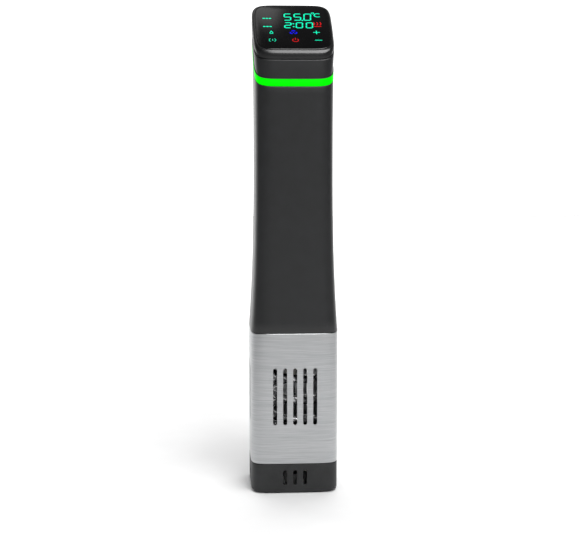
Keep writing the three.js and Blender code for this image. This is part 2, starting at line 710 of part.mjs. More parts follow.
// A cup whose collar fits in the skirt and whose plug fits in the housing. Pillars inside it carry the
// motor, and tubes carry the plate screws up to the housing's bosses.
function makeSealPlate() {
  const plugInset = WALL + GAP;
  const taper = 1.2;
  const stepZ = SHOULDER_Z - GAP;
  const outside = loft([
    section(plateZ, collarInset),
    section(stepZ, collarInset),
    section(stepZ, plugInset + taper),
    section(plugTopZ, plugInset + taper),
  ]);
  const inside = loft([
    section(plateTopZ, cavityInset),
    section(plugTopZ + 1, cavityInset),
  ]);
  const sunk = plateTopZ - 0.5;
  const pillars = [75, 105, 255, 285].map((degrees) => {
    const angle = THREE.MathUtils.degToRad(degrees);
    const reach = motorRadius - 4;
    const [x, y] = [reach * Math.cos(angle), reach * Math.sin(angle)];
    return post(MOTOR_PILLAR_RADIUS, motorZ - GAP - sunk, x, y, sunk, BOSS_SIDES);
  });
  const tubes = plateScrews.map(([x, y]) =>
    post(BOSS_RADIUS, plugTopZ - sunk, x, y, sunk, BOSS_SIDES),
  );
  const holes = plateHoles.map(([radius, x, y]) =>
    post(radius + GAP, PLATE_THICKNESS + 4, x, y, plateZ - 1),
  );
  const screwHoles = plateScrews.map(([x, y]) =>
    post(SCREW_RADIUS + GAP, HEIGHT, x, y, plateZ - 1, HOLE_SIDES),
  );
  const grooveZ = plateZ + 3.4;
  const grooveInset = collarInset + SEAL_RING_DEPTH;
  const groove = collarRing(grooveZ, grooveZ + SEAL_RING_HEIGHT, -1, grooveInset);
  const cup = join([cut(outside, [inside]), ...pillars, ...tubes]).intersect(outside);
  add(housing, "seal_plate", "darkPlastic", cut(cup, [groove, ...holes, ...screwHoles]));
  const ring = collarRing(
    grooveZ + GAP,
    grooveZ + SEAL_RING_HEIGHT - GAP,
    collarInset - SLIDE_CLEARANCE / 4,
    grooveInset - GAP,
  );
  add(housing, "skirt_seal_ring", "silicone", ring);
  plateScrews.forEach(([x, y], i) => {
    const length = plugTopZ - plateZ + PLATE_BOSS_HEIGHT - 4;
    const mesh = add(housing, `plate_screw_${i + 1}`, "steel", screw(length));
    mesh.position.set(x, y, plateZ - GAP);
    mesh.rotation.x = Math.PI;
  });
}

function makeShaftSupport() {
  const bore = SHAFT_RADIUS + GAP;
  add(housing, "shaft_seal", "rubber", ringAbout(sealRadius, bore, PLATE_THICKNESS, plateZ, 20));
  const tubeZ = plateZ - GAP - BEARING_TUBE_LENGTH;
  const sleeve = ringAbout(bore + BEARING_TUBE_WALL, bore, BEARING_TUBE_LENGTH, tubeZ, 20);
  add(housing, "bearing_tube", "whitePlastic", sleeve);
}

// The heater's first leg comes straight down, the tube winds round the shaft, and the second leg
// swings out to a corner and goes back up.
function heaterPath() {
  const topZ = plateTopZ + 8;
  const coilTopZ = plateZ - 14;
  const coilLowZ = BASE_HEIGHT + BASE_SPIGOT + 12;
  const [returnX, returnY] = corners.heaterReturn;
  const lastAngle = Math.atan2(returnY, returnX);
  const sweep = 2 * Math.PI * (HEATER_TURNS - 1) + lastAngle;
  const points = [topZ, plateZ, coilTopZ + 8].map((z) => [coilRadius, 0, z]);
  const steps = 12 * HEATER_TURNS;
  for (let i = 1; i <= steps; i++) {
    const angle = (i / steps) * sweep;
    const z = THREE.MathUtils.lerp(coilTopZ, coilLowZ, i / steps);
    points.push([coilRadius * Math.cos(angle), coilRadius * Math.sin(angle), z]);
  }
  points.push([returnX + 1, returnY, coilLowZ + 4]);
  for (const z of [coilLowZ + 14, coilTopZ, plateZ, topZ]) points.push([returnX, returnY, z]);
  return new THREE.CatmullRomCurve3(points.map((p) => new THREE.Vector3(...p)), false, "centripetal");
}

function makeHeater() {
  const sides = 7;
  const outline = Array.from({ length: sides }, (_, i) => {
    const angle = (2 * Math.PI * i) / sides;
    return new THREE.Vector2(HEATER_RADIUS * Math.cos(angle), HEATER_RADIUS * Math.sin(angle));
  });
  const geometry = new THREE.ExtrudeGeometry(new THREE.Shape(outline), {
    steps: 18 * HEATER_TURNS,
    extrudePath: heaterPath(),
  });
  add(housing, "heater_coil", "steel", solidOf(geometry));
  const nut = hexNut(heaterNutRadius, HEATER_RADIUS + 2 * GAP, NUT_HEIGHT, 0, 0, 0);
  [[coilRadius, 0], corners.heaterReturn].forEach(([x, y], i) => {
    add(housing, `heater_nut_${i + 1}`, "brass", nut).position.set(x, y, plateTopZ + GAP);
  });
}

function makeProbes() {
  const rod = (radius, length, [x, y]) =>
    post(radius, length + PLATE_THICKNESS + 6, x, y, plateZ - length, 12);
  const probe = rod(PROBE_RADIUS, PROBE_LENGTH, corners.probe);
  add(housing, "temperature_probe", "steel", probe);
  const sleeve = ringAbout(ELECTRODE_RADIUS + SLEEVE_WALL, ELECTRODE_RADIUS + GAP, 12, -6, 12);
  const electrodes = { low: LOW_ELECTRODE_LENGTH, high: HIGH_ELECTRODE_LENGTH };
  for (const [which, length] of Object.entries(electrodes)) {
    const [x, y] = corners[`${which}Electrode`];
    const electrode = rod(ELECTRODE_RADIUS, length, [x, y]);
    add(housing, `${which}_level_electrode`, "steel", electrode);
    const insulator = add(housing, `${which}_electrode_insulator`, "whitePlastic", sleeve);
    insulator.position.set(x, y, plateZ);
  }
}

const skirtScrewY = 12;
const skirtScrewZ = BASE_HEIGHT + BASE_SPIGOT / 2;
const fourSkirtScrews = fourCorners(footHalfWidth, skirtScrewY);

// cylinders along X through the skirt's side walls, where its four screws go
function skirtScrewTools(radius) {
  return fourSkirtScrews.map(([x, y]) => {
    const geometry = new THREE.CylinderGeometry(radius, radius, 10, 12).rotateZ(Math.PI / 2);
    return solidOf(geometry.translate(x, y, skirtScrewZ));
  });
}

function makeSkirt() {
  const lowZ = BASE_HEIGHT + GAP;
  const highZ = SHOULDER_Z - GAP;
  const sheet = collarRing(lowZ, highZ, 0, SKIRT_WALL);
  const slotMiddle = (lowZ + highZ) / 2 + 2;
  const slots = slotsAllRound(SKIRT_SLOTS_PER_FACE, SKIRT_SLOT_LENGTH, slotMiddle);
  const screwHoles = skirtScrewTools(SCREW_HEAD_RADIUS + GAP);
  add(skirt, "steel_skirt", "steel", cut(sheet, [...slots, ...screwHoles]));
}

function makeBaseCap() {
  const spigotInset = SKIRT_WALL + GAP;
  const topZ = BASE_HEIGHT + BASE_SPIGOT;
  const foot = [0, 30, 60, 90].map((degrees) => {
    const turn = THREE.MathUtils.degToRad(degrees);
    return section(FOOT_FILLET * (1 - Math.cos(turn)), FOOT_FILLET * (1 - Math.sin(turn)));
  });
  const outside = loft([
    ...foot,
    section(BASE_HEIGHT, 0),
    section(BASE_HEIGHT, spigotInset),
    section(topZ, spigotInset),
  ]);
  const inside = loft([
    section(BASE_FLOOR, spigotInset + WALL),
    section(topZ + 1, spigotInset + WALL),
  ]);
  const windows = slotsAllRound(BASE_SLOTS_PER_FACE, BASE_SLOT_LENGTH, BASE_HEIGHT / 2 + 1);
  const floorSlots = [-2, -1, 1, 2].map((place) => {
    const x = place * SLOT_PITCH;
    const reach = footHalfDepth - 14;
    const low = [x - SLOT_WIDTH / 2, -reach, -1];
    return block(low, [x + SLOT_WIDTH / 2, reach, BASE_FLOOR + 1]);
  });
  const screwHoles = skirtScrewTools(SCREW_RADIUS + GAP);
  const cup = cut(outside, [inside, ...windows, ...floorSlots, ...screwHoles]);
  add(skirt, "base_cap", "darkPlastic", cup);
}

function makeSkirtScrews() {
  const seatInset = SKIRT_WALL + GAP / 3;
  const pin = screw(WALL + GAP + 1.5, SKIRT_WALL - GAP / 3);
  fourSkirtScrews.forEach(([x, y], i) => {
    const side = Math.sign(x);
    const mesh = add(skirt, `skirt_screw_${i + 1}`, "steel", pin);
    mesh.position.set(x - side * seatInset, y, skirtScrewZ);
    mesh.rotation.y = (side * Math.PI) / 2;
  });
}

// ---------------------------------------------------------------- clamp

// The hook's outline: across is the part's Y, up is its Z. The inner side starts inside the housing,
// which is cut away from it afterwards.
function bracketOutline() {
  const hidden = footHalfDepth - 10;
  const topZ = throatZ + BRIDGE_HEIGHT;
  const outerRound = 7;
  const throatRound = 3;
  const tipChamfer = 2;
  const roundZ = throatZ - throatRound;
  const up = Math.PI / 2;
  const shape = new THREE.Shape();
  shape.moveTo(hidden, armLowZ);
  shape.lineTo(bracketPlateY, armLowZ);
  shape.absarc(bracketPlateY + throatRound, roundZ, throatRound, Math.PI, up, true);
  shape.absarc(armInnerY - throatRound, roundZ, throatRound, up, 0, true);
  shape.lineTo(armInnerY, armLowZ + tipChamfer);
  shape.lineTo(armInnerY + tipChamfer, armLowZ);
  shape.lineTo(armOuterY, armLowZ);
  shape.absarc(armOuterY - outerRound, topZ - outerRound, outerRound, 0, up, false);
  shape.lineTo(hidden, topZ);
  return shape;
}

function makeBracket() {
  const geometry = new THREE.ExtrudeGeometry(bracketOutline(), {
    depth: BRACKET_WIDTH,
    bevelEnabled: false,
    curveSegments: 4,
  });
  geometry.rotateX(Math.PI / 2).rotateZ(Math.PI / 2).translate(-BRACKET_WIDTH / 2, 0, 0);
  const seatY = bracketPlateY - 5;
  const reach = armOuterY - seatY + 1;
  const insertRadius = CLAMP_SCREW_RADIUS + GAP + 2;
  const screwXs = [-bracketScrewX, bracketScrewX];
  const holes = [
    loft(housingSections(-GAP - 0.05)),
    bar(insertRadius + GAP, ARM_THICKNESS + 10, 0, armInnerY - 5, screwAxisZ, 20),
    ...screwXs.map((x) => bar(SCREW_RADIUS + GAP, seatY, x, 1, bracketScrewZ, HOLE_SIDES)),
    ...screwXs.map((x) => bar(SCREW_HEAD_RADIUS + GAP, reach, x, seatY, bracketScrewZ, 12)),
  ];
  add(housing, "clamp_bracket", "darkPlastic", cut(solidOf(geometry), holes));
  const lipLow = armOuterY + GAP;
  const lipHigh = lipLow + INSERT_LIP;
  const insert = turned([
    [CLAMP_SCREW_RADIUS + GAP, armInnerY],
    [insertRadius, armInnerY],
    [insertRadius, lipLow],
    [insertRadius + 2, lipLow],
    [insertRadius + 2, lipHigh],
    [CLAMP_SCREW_RADIUS + GAP, lipHigh],
  ], 16);
  add(clampAxis, "threaded_insert", "brass", insert);
  const screwLength = seatY + GAP - halfDepth(bracketScrewZ) + WALL + 3;
  screwXs.forEach((x, i) => {
    const mesh = add(housing, `bracket_screw_${i + 1}`, "steel", screw(screwLength));
    mesh.position.set(x, seatY + GAP, bracketScrewZ);
    mesh.rotation.x = -Math.PI / 2;
  });
  const cushionX = BRACKET_WIDTH / 2 - 3;
  const cushionLow = armLowZ + 3;
  const cushion = block(
    [-cushionX, bracketPlateY + GAP, cushionLow],
    [cushionX, bracketPlateY + CUSHION_THICKNESS, cushionLow + CUSHION_LENGTH],
  );
  add(housing, "throat_cushion", "rubber", cushion);
}

// The screw, its pad and its knob stand on the clamp's axis, where local z is the part's y.
function makeClampScrew() {
  clampAxis.position.z = screwAxisZ;
  const socketLow = padFaceY + 2;
  const backOfPad = padFaceY + PAD_THICKNESS;
  const socketRadius = CLAMP_SCREW_RADIUS + GAP;
  const pad = turned([
    [0, padFaceY],
    [PAD_RADIUS, padFaceY],
    [PAD_RADIUS, backOfPad - 2],
    [socketRadius + 2, backOfPad],
    [socketRadius, backOfPad],
    [socketRadius, socketLow],
    [0, socketLow],
  ], 20);
  add(clampAxis, "clamp_pad", "darkPlastic", pad);
  const cushionThickness = CUSHION_THICKNESS - GAP;
  const cushion = post(PAD_RADIUS, cushionThickness, 0, 0, padFaceY - CUSHION_THICKNESS, 20);
  add(clampAxis, "pad_cushion", "rubber", cushion);
  const knobLow = armOuterY + GAP + INSERT_LIP + CLAMP_TRAVEL + 1.7;
  const screwTop = knobLow + KNOB_LENGTH - 4;
  const screwLow = socketLow + GAP;
  const rod = post(CLAMP_SCREW_RADIUS, screwTop - screwLow, 0, 0, screwLow);
  add(clampAxis, "clamp_screw", "steel", rod);
  const body = loft([
    lobedOutline(knobLow, 0.55),
    lobedOutline(knobLow + 2.5, 0.62),
    lobedOutline(knobLow + 3.5, 0.97),
    lobedOutline(knobLow + KNOB_LENGTH - 1.5, 1),
    lobedOutline(knobLow + KNOB_LENGTH, 0.92),
  ]);
  const bore = post(socketRadius, screwTop + GAP - knobLow + 5, 0, 0, knobLow - 5);
  add(clampAxis, "clamp_knob", "darkPlastic", body.subtract(bore));
}

// the knob's section at a height, with shallow finger lobes
function lobedOutline(z, scale) {
  const lobes = 6;
  const lobeDepth = 1.1;
  const count = lobes * 4;
  return Array.from({ length: count }, (_, i) => {
    const angle = (2 * Math.PI * i) / count;
    const radius = scale * (KNOB_RADIUS - lobeDepth + lobeDepth * Math.cos(lobes * angle));
    return new THREE.Vector3(radius * Math.cos(angle), radius * Math.sin(angle), z);
  });
}

// ---------------------------------------------------------------- the whole

makeDisplayGlass();
makeBezel();
makeHeadShell();
makeLightRing();
makeDisplayElectronics();
makeCaseScrews();
makeHousing();
makeGland();
makePowerElectronics();
makeMotor();
makeRotor();
makeSealPlate();
makeShaftSupport();
makeHeater();
makeProbes();
makeSkirt();
makeBaseCap();
makeSkirtScrews();
makeBracket();
makeClampScrew();

export default circulator;
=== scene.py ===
"""Looks of an immersion circulator for sous vide cooking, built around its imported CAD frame.

The tower is one rule: superellipse sections that narrow to a waist and flare to the head and the foot,
with the head cut parallel to a slanted touch display. Everything is in metres, the display faces -Y,
and the origin is the centre of the underside of the base cap.
"""

import json
import math

import bmesh
import bpy
from mathutils import Matrix, Vector


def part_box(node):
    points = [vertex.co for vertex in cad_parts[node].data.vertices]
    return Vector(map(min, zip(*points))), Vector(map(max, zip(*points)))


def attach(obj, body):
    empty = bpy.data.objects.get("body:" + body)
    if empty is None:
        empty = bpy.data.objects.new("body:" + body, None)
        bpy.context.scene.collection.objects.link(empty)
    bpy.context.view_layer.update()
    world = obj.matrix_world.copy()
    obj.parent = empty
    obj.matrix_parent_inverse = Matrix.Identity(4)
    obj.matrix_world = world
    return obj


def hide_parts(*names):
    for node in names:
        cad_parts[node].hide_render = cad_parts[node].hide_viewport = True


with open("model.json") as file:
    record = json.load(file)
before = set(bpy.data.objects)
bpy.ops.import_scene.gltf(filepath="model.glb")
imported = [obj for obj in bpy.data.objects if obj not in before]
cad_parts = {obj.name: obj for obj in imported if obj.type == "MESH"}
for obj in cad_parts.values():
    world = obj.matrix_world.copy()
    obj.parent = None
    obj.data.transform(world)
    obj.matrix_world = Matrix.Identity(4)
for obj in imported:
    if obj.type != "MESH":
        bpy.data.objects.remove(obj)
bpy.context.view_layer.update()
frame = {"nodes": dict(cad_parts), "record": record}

MM = 0.001
SMOOTH_ANGLE = math.radians(32)

# ------------------------------------------------------------------ the tower's rule

CORNER_POWER = 6.4  # exponent of the superellipse sections
HEAD_FLARE_POWER = 2.5
FOOT_FLARE_POWER = 2.7
WAIST_NARROWING = 8 * MM  # the waist is this much narrower than the foot
HEAD_NARROWING = 5.6 * MM
WAIST_DROP = 91 * MM
SLOPE = math.radians(35)
RISE = math.tan(SLOPE)
GAP = 0.3 * MM

skirt_low, skirt_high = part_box("steel_skirt")
glass_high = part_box("display_glass")[1]
foot_half_width, foot_half_depth = skirt_high.x, skirt_high.y
depth_less = 2 * (foot_half_width - foot_half_depth)
shoulder_z = skirt_high.z + GAP
display_z = glass_high.z - glass_high.y * RISE
waist_z = display_z - WAIST_DROP

# drops below the display, and insets from the tower's surface
RIM_FILLET = 2.6 * MM
GLASS_THICKNESS = 1.8 * MM
SEAM_DROP = 6.5 * MM
RING_DROP = 21.9 * MM
RING_BOTTOM_DROP = 27.1 * MM
WALL = 2.4 * MM
AROUND = 144  # points around a section
SLANT_PASSES = 4  # a slanted section's height and depth depend on each other, and settle in four passes
STATION_LABELS = ("turn", "level", "inset", "rise")
WELD = 1e-6  # points closer than this are one

# ------------------------------------------------------------------ nodes


def add(tree, kind, inputs=None, **settings):
    """Adds a node, applies its settings, and links or sets its inputs by name or index.

    A list is linked in its order to one input, which has to be one that takes several.
    """
    made = tree.nodes.new(kind)
    for name, value in settings.items():
        setattr(made, name, value)
    for key, value in (inputs or {}).items():
        for source in value if isinstance(value, list) else [value]:
            if isinstance(source, bpy.types.Node):
                source = source.outputs[0]
            if isinstance(source, bpy.types.NodeSocket):
                tree.links.new(source, made.inputs[key])
            else:
                made.inputs[key].default_value = source
    return made


def linear(hex_colour):
    """An sRGB hex colour as linear RGBA."""
    channels = [int(hex_colour[i : i + 2], 16) / 255 for i in (1, 3, 5)]
    curve = [c / 12.92 if c <= 0.04045 else ((c + 0.055) / 1.055) ** 2.4 for c in channels]
    return (*curve, 1.0)


def new_tree(name, sockets):
    """A Geometry Nodes tree whose inputs are the named sockets, after its geometry."""
    tree = bpy.data.node_groups.new(name, "GeometryNodeTree")
    tree.interface.new_socket("Geometry", in_out="INPUT", socket_type="NodeSocketGeometry")
    for socket, kind in sockets.items():
        tree.interface.new_socket(socket, in_out="INPUT", socket_type="NodeSocket" + kind)
    tree.interface.new_socket("Material", in_out="INPUT", socket_type="NodeSocketMaterial")
    tree.interface.new_socket("Geometry", in_out="OUTPUT", socket_type="NodeSocketGeometry")
    return tree, tree.nodes.new("NodeGroupInput").outputs


def finish_tree(tree, given, geometry):
    """Ends a tree in Realize Instances and Set Material."""
    real = add(tree, "GeometryNodeRealizeInstances", {0: geometry})
    painted = add(tree, "GeometryNodeSetMaterial", {"Geometry": real, "Material": given["Material"]})
    add(tree, "NodeGroupOutput", {0: painted})
    return tree


def grow(piece, tree, values):
    """Runs a tree on a piece, and keeps the result as the piece's plain mesh."""
    modifier = piece.modifiers.new(tree.name, "NODES")
    modifier.node_group = tree
    for item in tree.interface.items_tree:
        if item.in_out == "INPUT" and item.name in values:
            modifier[item.identifier] = values[item.name]
    graph = bpy.context.evaluated_depsgraph_get()
    mesh = bpy.data.meshes.new_from_object(piece.evaluated_get(graph), depsgraph=graph)
    mesh.name = piece.name
    piece.modifiers.clear()
    piece.data = mesh
    return piece


# ------------------------------------------------------------------ materials


def material(name, base, roughness, metallic=0.0, **sockets):
    """A Principled material with its all-over values on its own sockets."""
    made = bpy.data.materials.new(name)
    made.use_nodes = True
    tree = made.node_tree
    shader = tree.nodes["Principled BSDF"]
    values = {"Base Color": linear(base), "Roughness": roughness, "Metallic": metallic, **sockets}
    for key, value in values.items():
        shader.inputs[key].default_value = value
    return made, tree, shader


def object_point(tree, stretch=(1, 1, 1)):
    """Object coordinates in millimetres, stretched."""
    place = add(tree, "ShaderNodeTexCoord").outputs["Object"]
    scale = tuple(value / MM for value in stretch)
    return add(tree, "ShaderNodeMapping", {"Vector": place, "Scale": scale})


def follow(tree, shader, pattern, colours, stops, roughness, spread):
    """Makes colour and gloss follow a pattern: the colours lie at two stops of its value."""
    ramp = add(tree, "ShaderNodeValToRGB", {"Fac": pattern})
    for element, colour, stop in zip(ramp.color_ramp.elements, colours, stops):
        element.color = linear(colour)
        element.position = stop
    low, high = roughness - spread, roughness + spread
    gloss = add(tree, "ShaderNodeMapRange", {"Value": pattern, "To Min": low, "To Max": high})
    tree.links.new(ramp.outputs[0], shader.inputs["Base Color"])
    tree.links.new(gloss.outputs[0], shader.inputs["Roughness"])


def mottle(tree, shader, point, colours, grain, roughness, spread):
    """Uneven colour and gloss, with patches about grain millimetres across."""
    noise = add(tree, "ShaderNodeTexNoise", {"Vector": point, "Scale": 1 / grain, "Detail": 4.0})
    follow(tree, shader, noise, colours, (0.3, 0.7), roughness, spread)


def bump(tree, shader, height, strength, depth):
    """Relief of the given depth in metres from a height pattern."""
    values = {"Height": height, "Strength": strength, "Distance": depth}
    relief = add(tree, "ShaderNodeBump", values)
    tree.links.new(relief.outputs[0], shader.inputs["Normal"])


def moulded(name, dark, light, roughness, grain, depth, **sockets):
    """An injection-moulded plastic or rubber with an eroded mould texture."""
    made, tree, shader = material(name, dark, roughness, **sockets)
    point = object_point(tree)
    mottle(tree, shader, point, (dark, light), 9.0, roughness, 0.03)
    pits = add(tree, "ShaderNodeTexNoise", {"Vector": point, "Scale": 1 / grain, "Detail": 3.0})
    bump(tree, shader, pits, 0.5, depth)
    return made


# PC/ABS with a fine spark-eroded finish and a satin varnish: dark grey, soft highlights, no visible grain
def satin_shell():
    return moulded("satin_pc_abs", "#141516", "#18191b", 0.36, 0.5, 0.012 * MM)


# the same plastic polished around the display, so its rounded rim catches a sharp light line
def polished_rim():
    return moulded("polished_pc_abs", "#101011", "#151617", 0.24, 0.8, 0.004 * MM)


# PA66 with 30% glass fibre, moulded in a coarser eroded tool: dull black, slightly speckled
def glass_filled_nylon():
    return moulded("glass_filled_nylon", "#161718", "#222324", 0.56, 0.7, 0.03 * MM)


# nitrile and EPDM rubber: matte, slightly grey where it is handled
def moulded_rubber():
    return moulded("moulded_nitrile_rubber", "#101010", "#1d1c1b", 0.78, 0.9, 0.05 * MM)


# silicone cord of the skirt's seal: brick red, dull and a little waxy
def red_silicone():
    return moulded("extruded_red_silicone", "#6e2018", "#8c2f28", 0.5, 0.8, 0.02 * MM)


# glass-filled PBT or acetal in its natural colour, on insulators, impeller and bearing tube
def natural_acetal():
    return moulded("natural_acetal", "#cfccc3", "#e2dfd8", 0.4, 1.2, 0.01 * MM)


# back-painted acrylic, polished: near black, sharp reflections with a faint wipe haze
def black_acrylic():
    made, tree, shader = material("polished_black_acrylic", "#0b0b0c", 0.14, IOR=1.49)
    point = object_point(tree, (1, 1, 0.4))
    mottle(tree, shader, point, ("#040405", "#070708"), 22.0, 0.15, 0.03)
    haze = add(tree, "ShaderNodeTexNoise", {"Vector": point, "Scale": 0.05, "Detail": 1.0})
    bump(tree, shader, haze, 0.08, 0.05 * MM)
    return made


def lit(name, base, roughness, specular, colour, noise, strengths):
    """A glowing surface whose strength varies with noise of (scale for each millimetre, detail)."""
    made, tree, shader = material(name, base, roughness, **{"Specular IOR Level": specular})
    point = object_point(tree)
    scale, detail = noise
    cells = add(tree, "ShaderNodeTexNoise", {"Vector": point, "Scale": scale, "Detail": detail})
    low, high = strengths
    glow = add(tree, "ShaderNodeMapRange", {"Value": cells, "To Min": low, "To Max": high})
    tree.links.new(glow.outputs[0], shader.inputs["Emission Strength"])
    shader.inputs["Emission Color"].default_value = linear(colour)
    return made, tree, shader, point


# opal polycarbonate light guide, lit from inside by green LEDs: an even glow, slightly uneven along the ring
def lit_light_guide():
    name, green = "lit_opal_polycarbonate", "#00ff00"
    made, tree, shader, point = lit(name, "#001a00", 0.4, 0.05, green, (0.09, 0.0), (0.94, 1.06))
    grain = add(tree, "ShaderNodeTexNoise", {"Vector": point, "Scale": 1.6, "Detail": 2.0})
    bump(tree, shader, grain, 0.2, 0.01 * MM)
    return made


# a printed mark with an LED behind it: an even glow, slightly uneven from the diffuser foil
def lit_mark(name, colour, strength):
    strengths = (strength * 0.9, strength * 1.1)
    return lit(name, "#050505", 0.5, 0.1, colour, (0.5, 1.0), strengths)[0]


def brushed(name, dark, light, roughness, stretch, spacing):
    """Metal with a fine pattern, about spacing millimetres apart, drawn out where stretch is small."""
    made, tree, shader = material(name, light, roughness, 1.0)
    point = object_point(tree, stretch)
    lines = add(tree, "ShaderNodeTexNoise", {"Vector": point, "Scale": 1 / spacing, "Detail": 5.0})
    follow(tree, shader, lines, (dark, light), (0.25, 0.75), roughness, 0.08)
    bump(tree, shader, lines, 0.35, 0.02 * MM)
    return made


# 304 stainless sheet, brushed round the skirt: the lines are about 0.25 mm apart and show as a soft streak
def brushed_sheet():
    return brushed("brushed_304_sheet", "#9c9ea0", "#c2c3c4", 0.32, (0.012, 0.012, 1), 0.25)


# drawn 316 tube and rod, bright but not polished: faint draw lines, which stand upright on every piece
def drawn_tube():
    return brushed("drawn_316_tube", "#9a9b9c", "#cfd0d1", 0.24, (1, 1, 0.05), 0.5)


# turned, cast or plated metal of screws, bush, motor and heat sink: slightly uneven, with no direction
def turned_metal(name, dark, light, roughness):
    return brushed(name, dark, light, roughness, (0.6, 0.6, 0.6), 0.8)


# glass-epoxy board with green solder mask: semi-gloss, with paler copper tracks showing through
def circuit_board():
    made, tree, shader = material("green_solder_mask", "#14502c", 0.4)
    colours = {"Color1": linear("#124a28"), "Color2": linear("#17552f"), "Mortar": linear("#3d8452")}
    sizes = {"Vector": object_point(tree), "Scale": 0.35, "Mortar Size": 0.03}
    tracks = add(tree, "ShaderNodeTexBrick", {**sizes, **colours})
    tree.links.new(tracks.outputs["Color"], shader.inputs["Base Color"])
    bump(tree, shader, tracks.outputs["Fac"], 0.4, 0.03 * MM)
    return made


SHELL = satin_shell()
RIM = polished_rim()
ACRYLIC = black_acrylic()
NYLON = glass_filled_nylon()
RUBBER = moulded_rubber()
SILICONE = red_silicone()
ACETAL = natural_acetal()
LIGHT_GUIDE = lit_light_guide()
TEAL_MARK = lit_mark("lit_teal_mark", "#00f0b8", 1.4)
RED_MARK = lit_mark("lit_red_mark", "#d8000c", 1.1)
BLUE_MARK = lit_mark("lit_blue_mark", "#0204ff", 1.0)
SHEET = brushed_sheet()
TUBE = drawn_tube()
SCREW_STEEL = turned_metal("turned_a2_steel", "#8a8c8e", "#c4c6c8", 0.3)
PLATED = turned_metal("zinc_plated_steel", "#7d7f7e", "#b4b6b2", 0.4)
ALUMINIUM = turned_metal("cast_aluminium", "#8f9194", "#b9bbbe", 0.45)
BRASS = turned_metal("turned_brass", "#7f6430", "#c7a052", 0.3)
BOARD = circuit_board()

# ------------------------------------------------------------------ pieces


def link(name, mesh):
    piece = bpy.data.objects.new(name, mesh)
    bpy.context.scene.collection.objects.link(piece)
    return piece


def face_outwards(piece):
    """Turns every face outwards and merges doubles."""
    shape = bmesh.new()
    shape.from_mesh(piece.data)
    bmesh.ops.remove_doubles(shape, verts=shape.verts, dist=WELD)
    bmesh.ops.recalc_face_normals(shape, faces=shape.faces)
    shape.to_mesh(piece.data)
    shape.free()


def hand_over(piece, body, slot, *nodes):
    """Shades a finished piece and gives it to its body."""
    piece.data.shade_smooth()
    piece.data.set_sharp_from_angle(angle=SMOOTH_ANGLE)
    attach(piece, body)
    if nodes:
        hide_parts(*nodes)
    return piece


def fillet(drop, inset, radius, start, end, steps=5):
    """Profile points on a round edge, from its centre, its radius and two angles in degrees."""
    turns = [math.radians(start + (end - start) * i / steps) for i in range(steps + 1)]
    return [(drop - radius * math.sin(t), inset - radius * math.cos(t)) for t in turns]


# ------------------------------------------------------------------ the tower's tree


def half_width_tree():
    """The tower's half width at a height, as a node group."""
    tree = bpy.data.node_groups.new("tower_half_width", "GeometryNodeTree")
    tree.interface.new_socket("Height", in_out="INPUT", socket_type="NodeSocketFloat")
    tree.interface.new_socket("Half Width", in_out="OUTPUT", socket_type="NodeSocketFloat")
    height = tree.nodes.new("NodeGroupInput").outputs[0]
    flares = [
        (display_z, HEAD_FLARE_POWER, (WAIST_NARROWING - HEAD_NARROWING) / 2),
        (shoulder_z, FOOT_FLARE_POWER, WAIST_NARROWING / 2),
    ]
    total = add(tree, "ShaderNodeValue")
    total.outputs[0].default_value = foot_half_width - WAIST_NARROWING / 2
    for end, power, growth in flares:
        share = add(tree, "ShaderNodeMapRange", {"Value": height, "From Min": waist_z, "From Max": end})
        bent = add(tree, "ShaderNodeMath", {0: share, 1: power}, operation="POWER")
        total = add(tree, "ShaderNodeMath", {0: bent, 1: growth, 2: total}, operation="MULTIPLY_ADD")
    add(tree, "NodeGroupOutput", {0: total})
    return tree


def tower_tree():
    """Moves vertices with a turn, level, inset and rise onto the tower's surface."""
    tree, given = new_tree("tower_sections", {"Corner Power": "Float", "Depth Less": "Float"})
    half_width = half_width_tree()
    turn, level, inset, rise = (
        add(tree, "GeometryNodeInputNamedAttribute", {"Name": name}, data_type="FLOAT")
        for name in STATION_LABELS
    )
    power = add(tree, "ShaderNodeMath", {0: 2.0, 1: given["Corner Power"]}, operation="DIVIDE")
    shares = []
    for wave in ("COSINE", "SINE"):
        value = add(tree, "ShaderNodeMath", {0: turn}, operation=wave)
        size = add(tree, "ShaderNodeMath", {0: value}, operation="ABSOLUTE")
        bent = add(tree, "ShaderNodeMath", {0: size, 1: power}, operation="POWER")
        sign = add(tree, "ShaderNodeMath", {0: value}, operation="SIGN")
        shares.append(add(tree, "ShaderNodeMath", {0: bent, 1: sign}, operation="MULTIPLY"))
    across, along = shares
    half_less = add(tree, "ShaderNodeMath", {0: given["Depth Less"], 1: 0.5}, operation="MULTIPLY")
    depth_inset = add(tree, "ShaderNodeMath", {0: inset, 1: half_less}, operation="ADD")
    height = level
    for _ in range(SLANT_PASSES):
        half = add(tree, "GeometryNodeGroup", node_tree=half_width)
        tree.links.new(height.outputs[0], half.inputs[0])
        depth = add(tree, "ShaderNodeMath", {0: half, 1: depth_inset}, operation="SUBTRACT")
        y = add(tree, "ShaderNodeMath", {0: along, 1: depth}, operation="MULTIPLY")
        height = add(tree, "ShaderNodeMath", {0: y, 1: rise, 2: level}, operation="MULTIPLY_ADD")
    half = add(tree, "GeometryNodeGroup", node_tree=half_width)
    tree.links.new(height.outputs[0], half.inputs[0])
    width = add(tree, "ShaderNodeMath", {0: half, 1: inset}, operation="SUBTRACT")
    x = add(tree, "ShaderNodeMath", {0: across, 1: width}, operation="MULTIPLY")
    place = add(tree, "ShaderNodeCombineXYZ", {0: x, 1: y, 2: height})
    moved = add(tree, "GeometryNodeSetPosition", {"Geometry": given["Geometry"], "Position": place})
    return finish_tree(tree, given, moved)


TOWER = tower_tree()


